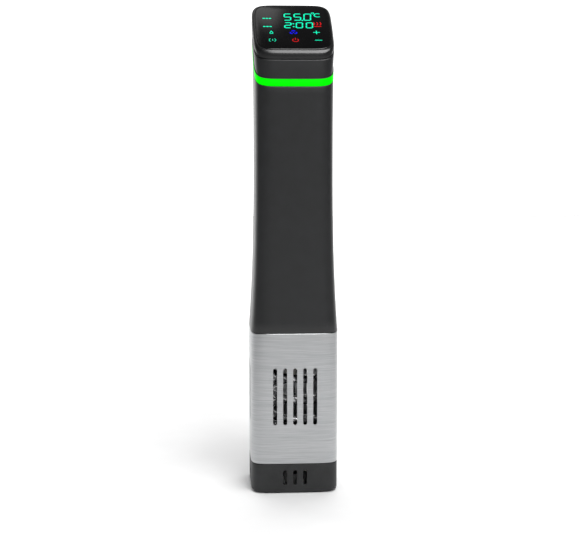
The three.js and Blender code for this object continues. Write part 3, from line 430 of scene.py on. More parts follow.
def tower_piece(name, stations, finish, capped=False):
    """A shell through stations of (level, inset, rise): a closed loop of them, or capped at both ends."""
    mesh = bpy.data.meshes.new(name)
    count = len(stations)
    faces = []
    for row in range(count - 1 if capped else count):
        above = (row + 1) % count
        for i in range(AROUND):
            j = (i + 1) % AROUND
            corners = ((row, i), (row, j), (above, j), (above, i))
            faces.append([r * AROUND + c for r, c in corners])
    if capped:
        faces.append(list(range(AROUND))[::-1])
        faces.append([(count - 1) * AROUND + i for i in range(AROUND)])
    mesh.from_pydata([(0, 0, 0)] * (count * AROUND), [], faces)
    turns = [2 * math.pi * i / AROUND for i in range(AROUND)] * count
    columns = [[station[k] for station in stations for _ in range(AROUND)] for k in range(3)]
    for label, values in zip(STATION_LABELS, (turns, *columns)):
        mesh.attributes.new(label, "FLOAT", "POINT").data.foreach_set("value", values)
    piece = link(name, mesh)
    sizes = {"Corner Power": CORNER_POWER, "Depth Less": depth_less, "Material": finish}
    grow(piece, TOWER, sizes)
    for label in STATION_LABELS:
        piece.data.attributes.remove(piece.data.attributes[label])
    face_outwards(piece)
    return piece


def slanted(profile):
    """Stations from points of (drop below the display, inset)."""
    return [(display_z - drop, inset, RISE) for drop, inset in profile]


def level(profile):
    """Stations from points of (height, inset)."""
    return [(z, inset, 0.0) for z, inset in profile]


def half_width_at(z):
    """The tower's half width at a height, as its tree works it out."""
    up = min(max((z - waist_z) / WAIST_DROP, 0), 1)
    down = min(max((waist_z - z) / (waist_z - shoulder_z), 0), 1)
    head = (WAIST_NARROWING - HEAD_NARROWING) / 2 * up**HEAD_FLARE_POWER
    return foot_half_width - WAIST_NARROWING / 2 * (1 - down**FOOT_FLARE_POWER) + head


def half_depth_at(z):
    return half_width_at(z) - depth_less / 2


# ------------------------------------------------------------------ head and housing

EDGE = 0.45 * MM  # rounding of the seams' edges
LIP_INSET = 4.6 * MM  # inner face of the lips that locate the head's pieces


def make_bezel():
    """The polished rim round the glass, with a ledge under the glass and a lip into the head."""
    opening, ledge_drop, lip_drop = 8.5 * MM, 4.6 * MM, 12 * MM
    rim = fillet(RIM_FILLET, RIM_FILLET, RIM_FILLET, 0, 90, 8)
    low = SEAM_DROP - GAP
    profile = [
        (low, WALL + GAP),
        *reversed(fillet(low - EDGE, EDGE, -EDGE, 90, 180, 3)),
        *rim,
        (GLASS_THICKNESS + GAP, RIM_FILLET),
        (GLASS_THICKNESS + GAP, opening),
        (ledge_drop, opening),
        (ledge_drop, LIP_INSET),
        (lip_drop, LIP_INSET),
        (lip_drop, WALL + GAP),
    ]
    piece = tower_piece("bezel", slanted(profile), RIM)
    hand_over(piece, "housing", "satin_black_shell", "head_bezel")


def make_glass():
    inset = RIM_FILLET + GAP
    edge = 0.35 * MM
    profile = [
        (GLASS_THICKNESS, inset),
        (edge, inset),
        *fillet(edge, inset + edge, edge, 20, 90, 3),
    ]
    piece = tower_piece("touch_glass", slanted(profile), ACRYLIC, capped=True)
    hand_over(piece, "housing", "black_display_glass", "display_glass")


def make_head_shell():
    low, high = RING_DROP - GAP, SEAM_DROP + GAP
    profile = [
        (low, WALL),
        *reversed(fillet(low - EDGE, EDGE, -EDGE, 90, 180, 3)),
        *fillet(high + EDGE, EDGE, EDGE, 0, 90, 3),
        (high, WALL),
    ]
    piece = tower_piece("head_band", slanted(profile), SHELL)
    hand_over(piece, "housing", "satin_black_shell", "head_shell")


def make_light_ring():
    """A slanted band, with a lip inside that locates the head."""
    edge, lip_height = 0.15 * MM, 2.2 * MM
    low, high = RING_BOTTOM_DROP, RING_DROP
    profile = [
        (low, WALL),
        (low, edge),
        (low - edge, 0),
        (high + edge, 0),
        (high, edge),
        (high, LIP_INSET),
        (high + lip_height, LIP_INSET),
        (high + lip_height, WALL),
    ]
    piece = tower_piece("light_guide_ring", slanted(profile), LIGHT_GUIDE)
    hand_over(piece, "housing", "green_light_ring", "light_ring")


def make_housing():
    """The tower's wall, from the skirt's shoulder up to the ring."""
    top = display_z - RING_BOTTOM_DROP - GAP
    steps = 26
    edge_middle = 0.13 * MM  # where the rounding of the end edges is halfway round
    inner_edge = 0.5 * MM

    def wall(inset, edge):
        """Stations up the wall, level as far as the waist and then more and more slanted."""
        rows = []
        for i in range(steps + 1):
            z = shoulder_z + edge + (top - edge - shoulder_z - edge) * i / steps
            share = max((z - waist_z) / (top - waist_z), 0)
            rows.append((z, inset, RISE * share))
        return rows

    low_round = [(shoulder_z, EDGE, 0.0), (shoulder_z + edge_middle, edge_middle, 0.0)]
    high_round = [(top - edge_middle, edge_middle, RISE), (top, EDGE, RISE)]
    outside = [*low_round, *wall(0, EDGE), *high_round]
    inside = [(top, WALL, RISE), *reversed(wall(WALL, inner_edge)), (shoulder_z, WALL, 0.0)]
    piece = tower_piece("tower_housing", [*outside, *inside], SHELL)
    hand_over(piece, "housing", "satin_black_shell", "main_housing")


# ------------------------------------------------------------------ display marks

MARK_HEIGHT = 0.04 * MM  # the lit marks stand this far above the glass
DISPLAY_TURN = Matrix.Rotation(SLOPE, 4, "X")
# the marks are drawn in millimetres, then moved by this much and shortened up the slope
MARKS_ACROSS, MARKS_UP, MARKS_SHARE = -0.8, -3.55, 0.967


def on_display(points):
    """Points of (across, up the slope), in millimetres, as places on the display."""
    origin = Vector((0, 0, display_z))
    lift = Vector((0, 0, MARK_HEIGHT))
    places = [Vector((u + MARKS_ACROSS, MARKS_SHARE * v + MARKS_UP, 0)) * MM for u, v in points]
    return [origin + DISPLAY_TURN @ (place + lift) for place in places]


def make_marks(name, shapes, finish, slot):
    """One thin plate for each outline, all in one piece."""
    shape = bmesh.new()
    for outline in shapes:
        top = [shape.verts.new(point) for point in on_display(outline)]
        face = shape.faces.new(top)
        sunk = bmesh.ops.extrude_face_region(shape, geom=[face])["geom"]
        down = DISPLAY_TURN @ Vector((0, 0, -2 * MARK_HEIGHT))
        for part in sunk:
            if isinstance(part, bmesh.types.BMVert):
                part.co += down
    bmesh.ops.recalc_face_normals(shape, faces=shape.faces)
    mesh = bpy.data.meshes.new(name)
    shape.to_mesh(mesh)
    shape.free()
    mesh.materials.append(finish)
    return hand_over(link(name, mesh), "housing", slot)


SEGMENTS = {"0": "abcdef", "2": "abged", "5": "afgcd"}
STROKE = 1.05  # width of a lit bar
LEAN = 0.06  # how far a digit leans for each unit up
BAR_GAP = 0.12  # each bar stops this short of the next
DIGIT_WIDTH, DIGIT_PITCH, DIGITS_LEFT = 6.3, 8.0, -6.0
DOT = 0.75


def digit(character, left, low, width, height):
    """The lit bars of a seven-segment digit, each a bar with pointed ends."""
    half = STROKE / 2
    middle = height / 2
    bars = {
        "a": ((half, height - half), (width - half, height - half)),
        "b": ((width - half, middle), (width - half, height - half)),
        "c": ((width - half, half), (width - half, middle)),
        "d": ((half, half), (width - half, half)),
        "e": ((half, half), (half, middle)),
        "f": ((half, middle), (half, height - half)),
        "g": ((half, middle), (width - half, middle)),
    }
    shapes = []
    for bar in SEGMENTS[character]:
        (x0, y0), (x1, y1) = bars[bar]
        length = math.hypot(x1 - x0, y1 - y0)
        dx, dy = (x1 - x0) / length, (y1 - y0) / length
        x0, y0 = x0 + dx * BAR_GAP, y0 + dy * BAR_GAP
        x1, y1 = x1 - dx * BAR_GAP, y1 - dy * BAR_GAP
        nx, ny = -dy * half, dx * half
        ex, ey = dx * half, dy * half
        corners = [
            (x0, y0),
            (x0 + ex - nx, y0 + ey - ny),
            (x1 - ex - nx, y1 - ey - ny),
            (x1, y1),
            (x1 - ex + nx, y1 - ey + ny),
            (x0 + ex + nx, y0 + ey + ny),
        ]
        shapes.append([(left + x + LEAN * y, low + y) for x, y in corners])
    return shapes


def disc(u, v, radius, count=20):
    turns = [2 * math.pi * i / count for i in range(count)]
    return [(u + radius * math.cos(t), v + radius * math.sin(t)) for t in turns]


def arc_stroke(u, v, radius, width, start, end, steps=24):
    """A curved stroke as quads, from one angle to another in degrees."""
    shapes = []
    turns = [math.radians(start + (end - start) * i / steps) for i in range(steps + 1)]
    low, high = radius - width / 2, radius + width / 2
    for a, b in zip(turns, turns[1:]):
        ends = ((low, a), (high, a), (high, b), (low, b))
        shapes.append([(u + r * math.cos(t), v + r * math.sin(t)) for r, t in ends])
    return shapes


def stroke(u0, v0, u1, v1, width):
    """A straight stroke."""
    length = math.hypot(u1 - u0, v1 - v0)
    nu, nv = -(v1 - v0) / length * width / 2, (u1 - u0) / length * width / 2
    return [(u0 + nu, v0 + nv), (u0 - nu, v0 - nv), (u1 - nu, v1 - nv), (u1 + nu, v1 + nv)]


def temperature_marks():
    """The set temperature: three large digits and a point before the last."""
    low, height = 14.3, 11.2
    shapes = []
    for i, character in enumerate("550"):
        shapes += digit(character, DIGITS_LEFT + i * DIGIT_PITCH, low, DIGIT_WIDTH, height)
    shapes.append(disc(DIGITS_LEFT + 2 * DIGIT_PITCH - DOT, low + 0.2, DOT))
    return shapes


def time_marks():
    """The set time: an hour digit, a colon and two minute digits, a little smaller."""
    low, height, width, after_colon = 2.2, 9.2, DIGIT_WIDTH - 0.4, 1.2
    shapes = digit("2", DIGITS_LEFT, low, width, height)
    for i in (1, 2):
        shapes += digit("0", DIGITS_LEFT + i * DIGIT_PITCH + after_colon, low, width, height)
    for v in (4.6, 9.2):
        shapes.append(disc(DIGITS_LEFT + DIGIT_PITCH - 0.3, v, DOT))
    return shapes


def unit_marks():
    """A degree ring and a C."""
    ring = arc_stroke(18.1, 26.2, 1.0, 0.6, 0, 360, 16)
    return ring + arc_stroke(21.9, 23.0, 2.7, 0.9, 50, 310, 16)


def label_dashes():
    """Two rows of dashes, where small labels would be."""
    left, length, pitch, width = -22.6, 1.9, 2.5, 1.3
    shapes = []
    for v in (17.6, 4.6):
        for i in range(3):
            u = left + i * pitch
            shapes.append(stroke(u, v, u + length, v, width))
    return shapes


def drop_mark():
    u, v, radius, width = -16.4, -5.4, 1.2, 0.55
    shapes = arc_stroke(u, v, radius, width, 140, 400)
    for side in (-0.9, 0.9):
        shapes.append(stroke(u + side, v + 0.8, u, v + 3.2, width))
    return shapes


def clock_mark():
    """A dial with open top and bottom, and two hands."""
    u, v, radius, width = -16.0, -16.4, 2.6, 0.4
    shapes = arc_stroke(u, v, radius, width, 125, 235) + arc_stroke(u, v, radius, width, -55, 55)
    shapes.append(stroke(u, v - 0.5, u, v + 1.4, width))
    shapes.append(stroke(u - 0.2, v - 0.5, u + 0.8, v - 0.5, width))
    return shapes


def plus_and_minus():
    u, v, reach, rise, width = 19.3, -4.3, 2.7, 2.6, 0.7
    gap = 0.4  # the upright is two strokes, clear of the level one
    return [
        stroke(u - reach, v, u + reach, v, width),
        stroke(u, v - rise, u, v - gap, width),
        stroke(u, v + gap, u, v + rise, width),
        stroke(17.4, -16.4, 23.0, -16.4, width),
    ]


def heat_mark():
    """Three waves over a line."""
    shapes = []
    for u in (18.2, 20.8, 23.4):
        shapes.append(stroke(u - 0.5, 6.8, u + 0.5, 9.2, 0.8))
        shapes.append(stroke(u + 0.5, 9.4, u - 0.3, 11.8, 0.8))
    shapes.append(stroke(18.0, 5.0, 23.8, 5.0, 0.9))
    return shapes


def power_mark():
    """A ring, open at the top, with a bar in the opening."""
    u, v, radius, width = 2.1, -16.4, 2.3, 0.6
    return [*arc_stroke(u, v, radius, width, 125, 415), stroke(u, v + 0.6, u, v + 3.4, width)]


def fan_mark():
    """Three curled blades about a hub."""
    u, v, reach, blade, width, hub = 1.1, -4.3, 1.7, 1.1, 1.0, 0.7
    shapes = []
    for turn in (90, 210, 330):
        angle = math.radians(turn)
        middle_u, middle_v = u + reach * math.cos(angle), v + reach * math.sin(angle)
        shapes += arc_stroke(middle_u, middle_v, blade, width, turn - 100, turn + 100, 10)
    shapes.append(disc(u, v, hub))
    return shapes


def make_display_marks():
    numbers = temperature_marks() + time_marks() + unit_marks()
    keys = label_dashes() + drop_mark() + clock_mark() + plus_and_minus()
    make_marks("display_teal_marks", numbers + keys, TEAL_MARK, "white_moulding")
    make_marks("display_red_marks", heat_mark() + power_mark(), RED_MARK, "white_moulding")
    make_marks("display_blue_marks", fan_mark(), BLUE_MARK, "white_moulding")


make_bezel()
make_glass()
make_head_shell()
make_light_ring()
make_housing()
make_display_marks()

# ------------------------------------------------------------------ trees for what repeats


def equal_turns(tree, count, shape):
    """Instances of a shape at equal turns about Z."""
    points = add(tree, "GeometryNodeMeshLine", {"Count": count, "Offset": (0, 0, 0)})
    share = add(tree, "ShaderNodeMath", {0: math.tau, 1: count}, operation="DIVIDE")
    place = add(tree, "GeometryNodeInputIndex")
    angle = add(tree, "ShaderNodeMath", {0: share, 1: place}, operation="MULTIPLY")
    turn = add(tree, "ShaderNodeCombineXYZ", {"Z": angle})
    values = {"Points": points, "Instance": shape, "Rotation": turn}
    return add(tree, "GeometryNodeInstanceOnPoints", values)


def slot_tree():
    """Cuts rows of round-ended slots, and repeats the row at equal turns about Z."""
    sizes = {"Count": "Int", "Pitch": "Float", "Width": "Float", "Length": "Float", "Depth": "Float"}
    places = {"Centre": "Vector", "Tilt": "Float", "Turns": "Int"}
    tree, given = new_tree("slot_rows", {**sizes, **places})
    size = {"Width": given["Width"], "Height": given["Length"]}
    outline = add(tree, "GeometryNodeCurvePrimitiveQuadrilateral", size)
    radius = add(tree, "ShaderNodeMath", {0: given["Width"], 1: 0.499}, operation="MULTIPLY")
    ends = {"Curve": outline, "Radius": radius, "Count": 6}
    rounded = add(tree, "GeometryNodeFilletCurve", ends, mode="POLY")
    plate = add(tree, "GeometryNodeFillCurve", {"Curve": rounded}, mode="NGONS")
    depth = {"Mesh": plate, "Offset Scale": given["Depth"], "Individual": False}
    raised = add(tree, "GeometryNodeExtrudeMesh", depth)
    underside = add(tree, "GeometryNodeFlipFaces", {"Mesh": plate})
    both = add(tree, "GeometryNodeJoinGeometry", {0: [raised, underside]})
    cutter = add(tree, "GeometryNodeMergeByDistance", {"Geometry": both, "Distance": WELD})
    last = add(tree, "ShaderNodeMath", {0: given["Count"], 1: 1.0}, operation="SUBTRACT")
    reach = add(tree, "ShaderNodeMath", {0: last, 1: given["Pitch"]}, operation="MULTIPLY")
    back = add(tree, "ShaderNodeMath", {0: reach, 1: -0.5}, operation="MULTIPLY")
    side = add(tree, "ShaderNodeCombineXYZ", {"X": back})
    start = add(tree, "ShaderNodeVectorMath", {0: given["Centre"], 1: side}, operation="ADD")
    step = add(tree, "ShaderNodeCombineXYZ", {"X": given["Pitch"]})
    line = {"Count": given["Count"], "Start Location": start, "Offset": step}
    row = add(tree, "GeometryNodeMeshLine", line)
    tilt = add(tree, "ShaderNodeCombineXYZ", {"X": given["Tilt"]})
    values = {"Points": row, "Instance": cutter, "Rotation": tilt}
    cutters = add(tree, "GeometryNodeInstanceOnPoints", values)
    rows = equal_turns(tree, given["Turns"], cutters)
    tools = add(tree, "GeometryNodeRealizeInstances", {0: rows})
    meshes = {"Mesh 1": given["Geometry"], "Mesh 2": tools}
    cut = add(tree, "GeometryNodeMeshBoolean", meshes, operation="DIFFERENCE")
    return finish_tree(tree, given, cut)


def bore_tree():
    """Drills a row of round holes along Y."""
    sizes = {"Count": "Int", "Radius": "Float", "Depth": "Float", "Start": "Vector", "Step": "Vector"}
    tree, given = new_tree("bored_holes", sizes)
    size = {"Vertices": 40, "Radius": given["Radius"], "Depth": given["Depth"]}
    drill = add(tree, "GeometryNodeMeshCylinder", size)
    line = {"Count": given["Count"], "Start Location": given["Start"], "Offset": given["Step"]}
    row = add(tree, "GeometryNodeMeshLine", line)
    values = {"Points": row, "Instance": drill, "Rotation": (math.pi / 2, 0, 0)}
    drills = add(tree, "GeometryNodeInstanceOnPoints", values)
    tools = add(tree, "GeometryNodeRealizeInstances", {0: drills})
    meshes = {"Mesh 1": given["Geometry"], "Mesh 2": tools}
    cut = add(tree, "GeometryNodeMeshBoolean", meshes, operation="DIFFERENCE")
    return finish_tree(tree, given, cut)


def screw_tree():
    """Puts a cross-recessed pan head on every point, along the point's axis attribute."""
    sizes = {"Radius": "Float", "Height": "Float", "Shank": "Float", "Length": "Float"}
    tree, given = new_tree("pan_head_screws", sizes)
    shares = {
        "crown radius": ("Radius", 0.72),
        "rim height": ("Height", 0.6),
        "crown height": ("Height", 0.4),
        "rim middle": ("Height", 0.3),
        "wing length": ("Radius", 1.15),
        "wing width": ("Radius", 0.26),
        "shank middle": ("Length", -0.5),
    }
    size = {
        name: add(tree, "ShaderNodeMath", {0: given[socket], 1: share}, operation="MULTIPLY")
        for name, (socket, share) in shares.items()
    }
    rim_size = {"Vertices": 36, "Radius": given["Radius"], "Depth": size["rim height"]}
    rim = add(tree, "GeometryNodeMeshCylinder", rim_size)
    radii = {"Radius Bottom": given["Radius"], "Radius Top": size["crown radius"]}
    crown = add(tree, "GeometryNodeMeshCone", {"Vertices": 36, **radii, "Depth": size["crown height"]})
    box = {"X": size["wing length"], "Y": size["wing width"], "Z": given["Height"]}
    wing_size = add(tree, "ShaderNodeCombineXYZ", box)
    wing = add(tree, "GeometryNodeMeshCube", {"Size": wing_size})
    shank_size = {"Vertices": 20, "Radius": given["Shank"], "Depth": given["Length"]}
    shank = add(tree, "GeometryNodeMeshCylinder", shank_size)
    lifts = [
        (rim, size["rim middle"], 0),
        (crown, size["rim height"], 0),
        (wing, given["Height"], 0),
        (wing, given["Height"], math.pi / 2),
        (shank, size["shank middle"], 0),
    ]
    placed = []
    for mesh, height, turn in lifts:
        up = add(tree, "ShaderNodeCombineXYZ", {"Z": height})
        values = {"Geometry": mesh, "Translation": up, "Rotation": (0, 0, turn)}
        placed.append(add(tree, "GeometryNodeTransform", values))
    rim, crown, *wings, shank = placed
    head = add(tree, "GeometryNodeJoinGeometry", {0: [rim, crown]})
    cut = add(tree, "GeometryNodeMergeByDistance", {"Geometry": head, "Distance": WELD})
    for wing in wings:
        meshes = {"Mesh 1": cut, "Mesh 2": wing}
        cut = add(tree, "GeometryNodeMeshBoolean", meshes, operation="DIFFERENCE")
    whole = add(tree, "GeometryNodeJoinGeometry", {0: [cut, shank]})
    axis = add(tree, "GeometryNodeInputNamedAttribute", {"Name": "axis"}, data_type="FLOAT_VECTOR")
    aim = add(tree, "FunctionNodeAlignRotationToVector", {"Vector": axis}, axis="Z")
    values = {"Points": given["Geometry"], "Instance": whole, "Rotation": aim}
    screws = add(tree, "GeometryNodeInstanceOnPoints", values)
    return finish_tree(tree, given, screws)


def tube_tree():
    """Sweeps a round tube along the piece's own line of vertices."""
    tree, given = new_tree("swept_tube", {"Radius": "Float", "Sides": "Int", "Spacing": "Float"})
    line = add(tree, "GeometryNodeMeshToCurve", {0: given["Geometry"]})
    smooth = add(tree, "GeometryNodeCurveSplineType", {"Curve": line}, spline_type="CATMULL_ROM")
    spacing = {"Curve": smooth, "Length": given["Spacing"]}
    even = add(tree, "GeometryNodeResampleCurve", spacing, mode="LENGTH")
    size = {"Resolution": given["Sides"], "Radius": given["Radius"]}
    outline = add(tree, "GeometryNodeCurvePrimitiveCircle", size)
    values = {"Curve": even, "Profile Curve": outline, "Fill Caps": True}
    swept = add(tree, "GeometryNodeCurveToMesh", values)
    return finish_tree(tree, given, swept)


def thread_tree():
    """Winds a thread of pointed section about Z over the piece's own core, then lays both along Y."""
    sizes = {"Radius": "Float", "Pitch": "Float", "Length": "Float", "Start": "Float", "Crest": "Float"}
    tree, given = new_tree("screw_thread", sizes)
    rounds = add(tree, "ShaderNodeMath", {0: given["Length"], 1: given["Pitch"]}, operation="DIVIDE")
    winding = {"Resolution": 28, "Rotations": rounds, "Height": given["Length"]}
    radii = {"Start Radius": given["Radius"], "End Radius": given["Radius"]}
    helix = add(tree, "GeometryNodeCurveSpiral", {**winding, **radii})
    upright = add(tree, "GeometryNodeSetCurveNormal", {"Curve": helix}, mode="Z_UP")
    point_size = {"Resolution": 4, "Radius": given["Crest"]}
    section = add(tree, "GeometryNodeCurvePrimitiveCircle", point_size)
    values = {"Curve": upright, "Profile Curve": section, "Fill Caps": True}
    ridge = add(tree, "GeometryNodeCurveToMesh", values)
    up = add(tree, "ShaderNodeCombineXYZ", {"Z": given["Start"]})
    wound = add(tree, "GeometryNodeTransform", {"Geometry": ridge, "Translation": up})
    both = add(tree, "GeometryNodeJoinGeometry", {0: [wound, given["Geometry"]]})
    laid = add(tree, "GeometryNodeTransform", {"Geometry": both, "Rotation": (-math.pi / 2, 0, 0)})
    return finish_tree(tree, given, laid)


def array_tree():
    """Repeats the piece at equal turns about Z."""
    tree, given = new_tree("turned_copies", {"Count": "Int"})
    placed = equal_turns(tree, given["Count"], given["Geometry"])
    return finish_tree(tree, given, placed)


def rib_tree():
    """Lays round ribs along X over the piece, one above the other."""
    sizes = {"Count": "Int", "Radius": "Float", "Length": "Float", "Start": "Vector", "Pitch": "Float"}
    tree, given = new_tree("grip_ribs", sizes)
    size = {"Vertices": 16, "Radius": given["Radius"], "Depth": given["Length"]}
    rib = add(tree, "GeometryNodeMeshCylinder", size)
    step = add(tree, "ShaderNodeCombineXYZ", {"Z": given["Pitch"]})
    line = {"Count": given["Count"], "Start Location": given["Start"], "Offset": step}
    row = add(tree, "GeometryNodeMeshLine", line)
    values = {"Points": row, "Instance": rib, "Rotation": (0, math.pi / 2, 0)}
    ribs = add(tree, "GeometryNodeInstanceOnPoints", values)
    both = add(tree, "GeometryNodeJoinGeometry", {0: [ribs, given["Geometry"]]})
    return finish_tree(tree, given, both)


SLOTS = slot_tree()
BORES = bore_tree()
SCREWS = screw_tree()
SWEPT = tube_tree()
THREAD = thread_tree()
COPIES = array_tree()
RIBS = rib_tree()

# ------------------------------------------------------------------ turned pieces


def centre(node):
    low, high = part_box(node)
    return (low + high) / 2


def turned(name, rows, finish, place=(0, 0, 0), along_y=False, sides=64, closed=False):
    """A solid of revolution from rows of (radius, height). A radius may be a function of the angle."""
    place = Vector(place)
    points = []
    for radius, height in rows:
        for i in range(sides):
            turn = 2 * math.pi * i / sides
            reach = radius(turn) if callable(radius) else radius
            x, y = reach * math.cos(turn), reach * math.sin(turn)
            points.append(place + Vector((x, height, y) if along_y else (x, y, height)))
    faces = []
    for row in range(len(rows) if closed else len(rows) - 1):
        above = (row + 1) % len(rows)
        for i in range(sides):
            j = (i + 1) % sides
            faces.append((row * sides + i, row * sides + j, above * sides + j, above * sides + i))
    mesh = bpy.data.meshes.new(name)
    mesh.from_pydata(points, [], faces)
    mesh.materials.append(finish)
    piece = link(name, mesh)
    face_outwards(piece)
    return piece


def round_edge(radius, height, size, start, end, steps=4):
    """Rows on a round edge of a turned piece, about its centre, between two angles in degrees."""
    turns = [math.radians(start + (end - start) * i / steps) for i in range(steps + 1)]
    return [(radius + size * math.cos(t), height + size * math.sin(t)) for t in turns]


def hexagon(across_corners, limit):
    """The radius of a hexagon at an angle, with its corners turned off at a limit."""
    flat = across_corners * math.cos(math.pi / 6)

    def radius(turn):
        return min(flat / math.cos((turn + math.pi / 6) % (math.pi / 3) - math.pi / 6), limit)

    return radius


# ------------------------------------------------------------------ skirt and base

SHEET_THICKNESS = 1.0 * MM
SLOT_WIDTH = 3.2 * MM
SLOT_PITCH = 8 * MM
SLOT_CUT = 12 * MM
base_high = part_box("base_cap")[1]
base_top_z = skirt_low.z - GAP
slot_reach = foot_half_depth - SLOT_CUT / 2  # where the side slots' cutters start


def cut_slots(piece, finish, count, length, place, tilt=math.pi / 2, turns=4):
    """Cuts a row of slots about a place, and repeats it at equal turns."""
    sizes = {"Count": count, "Length": length, "Pitch": SLOT_PITCH, "Width": SLOT_WIDTH}
    places = {"Depth": SLOT_CUT, "Centre": place, "Tilt": tilt, "Turns": turns}
    return grow(piece, SLOTS, {**sizes, **places, "Material": finish})


def make_skirt():
    """A thin open tube with five slots in each side."""
    low, high = skirt_low.z, skirt_high.z
    lip = 0.25 * MM
    slot_length, slot_rise = 46 * MM, 2 * MM
    profile = [
        (low, lip),
        (low + lip, 0),
        (high - lip, 0),
        (high, lip),
        (high, SHEET_THICKNESS - lip),
        (high - lip, SHEET_THICKNESS),
        (low + lip, SHEET_THICKNESS),
        (low, SHEET_THICKNESS - lip),
    ]
    piece = tower_piece("skirt_sheet", level(profile), SHEET)
    cut_slots(piece, SHEET, 5, slot_length, (0, -slot_reach, (low + high) / 2 + slot_rise))
    hand_over(piece, "skirt", "brushed_skirt_steel", "steel_skirt")


def make_base():
    """A cup with three windows in each side and four inlets in its floor."""
    foot_round, floor_top, seam = 3 * MM, 3.2 * MM, 0.3 * MM
    window_height, window_rise = 12 * MM, 1 * MM
    inlet_x, inlet_margin = 12 * MM, 14 * MM
    spigot = SHEET_THICKNESS + GAP
    wall = spigot + WALL
    profile = [
        *[(foot_round - drop, inset) for drop, inset in foot_arc(foot_round)],
        (base_top_z - seam, 0),
        (base_top_z, seam),
        (base_top_z, spigot),
        (base_high.z - seam, spigot),
        (base_high.z, spigot + seam),
        (base_high.z, wall),
        (floor_top, wall),
    ]
    piece = tower_piece("base_cup", level(profile), NYLON, capped=True)
    cut_slots(piece, NYLON, 3, window_height, (0, -slot_reach, base_top_z / 2 + window_rise))
    inlet_length = 2 * (foot_half_depth - inlet_margin)
    inlet_place = (inlet_x, 0, -SLOT_CUT / 2)
    cut_slots(piece, NYLON, 2, inlet_length, inlet_place, tilt=0.0, turns=2)
    hand_over(piece, "skirt", "black_moulding", "base_cap")


def foot_arc(radius, steps=6):
    """Points of (drop below the arc's centre, inset) on the foot's rounded edge, from the floor up."""
    turns = [math.pi / 2 * i / steps for i in range(steps + 1)]
    return [(radius * math.cos(t), radius * (1 - math.sin(t))) for t in turns]


# ------------------------------------------------------------------ screws


def make_screws(name, nodes, axis, seat, body, sizes):
    """One piece of screws. A head seats this far out along its axis, on its CAD node's side."""
    index = [abs(value) for value in axis].index(1)
    points, aims = [], []
    for node in nodes:
        point = centre(node)
        side = math.copysign(1, point[index])
        point[index] = side * seat
        points.append(point)
        aims.append(side * Vector(axis))
    mesh = bpy.data.meshes.new(name)
    mesh.from_pydata(points, [], [])
    axes = mesh.attributes.new("axis", "FLOAT_VECTOR", "POINT")
    for place, aim in zip(axes.data, aims):
        place.vector = aim
    piece = link(name, mesh)
    values = dict(zip(("Radius", "Height", "Shank", "Length"), sizes))
    grow(piece, SCREWS, {**values, "Material": SCREW_STEEL})
    hand_over(piece, body, "screw_steel", *nodes)


def make_all_screws():
    """The screws of the skirt, the seal plate and the bracket."""
    radius, shank = 2.4 * MM, 1.25 * MM
    low_head, tall_head, skirt_shank = 0.9 * MM, 2 * MM, 4.2 * MM
    nodes = [f"skirt_screw_{i}" for i in (1, 2, 3, 4)]
    seat = foot_half_width - SHEET_THICKNESS - 0.1 * MM
    sizes = (radius, low_head, shank, skirt_shank)
    make_screws("skirt_screws", nodes, (1, 0, 0), seat, "skirt", sizes)
    nodes = [f"plate_screw_{i}" for i in (1, 2, 3, 4)]
    low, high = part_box("plate_screw_1")
    seat = low.z + tall_head
    sizes = (radius, tall_head, shank, high.z - seat)
    make_screws("plate_screws", nodes, (0, 0, -1), seat, "housing", sizes)
    nodes = [f"bracket_screw_{i}" for i in (1, 2)]
    low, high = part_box("bracket_screw_1")
    seat = high.y - tall_head
    sizes = (radius, tall_head, shank, seat - low.y)
    make_screws("bracket_screws", nodes, (0, 1, 0), seat, "housing", sizes)


# ------------------------------------------------------------------ wet end

SHAFT_BORE = 2.6 * MM  # bore of what runs or sits on the pump's shaft
SPANS, CHORDS = 10, 8  # quads along and across a blade


def make_seal_plate():
    """The plate that closes the housing, with the seal's groove round its collar."""
    low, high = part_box("seal_plate")
    collar = SHEET_THICKNESS + 0.4 * MM
    groove_low, groove_high = low.z + 3.4 * MM, low.z + 6.4 * MM
    groove = collar + 1.7 * MM
    plug = WALL + GAP + 1.2 * MM
    cavity, cavity_floor = WALL + GAP + 3.7 * MM, low.z + 4 * MM
    edge = 0.5 * MM
    profile = [
        (low.z, collar + edge),
        (low.z + edge, collar),
        (groove_low, collar),
        (groove_low, groove),
        (groove_high, groove),
        (groove_high, collar),
        (shoulder_z - GAP, collar),
        (shoulder_z - GAP, plug),
        (high.z, plug),
        (high.z, cavity),
        (cavity_floor, cavity),
    ]
    piece = tower_piece("sealing_plate", level(profile), NYLON, capped=True)
    hand_over(piece, "housing", "black_moulding", "seal_plate")
    make_seal_cord(groove - GAP)


def make_seal_cord(inner):
    """The seal's cord, as far in as its groove allows."""
    low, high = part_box("skirt_seal_ring")
    inset = foot_half_width - high.x
    bulge = 0.5 * MM
    profile = [
        (low.z, inset + bulge),
        (low.z + bulge, inset),
        (high.z - bulge, inset),
        (high.z, inset + bulge),
        (high.z, inner),
        (low.z, inner),
    ]
    piece = tower_piece("seal_cord", level(profile), SILICONE)
    hand_over(piece, "housing", "red_silicone", "skirt_seal_ring")


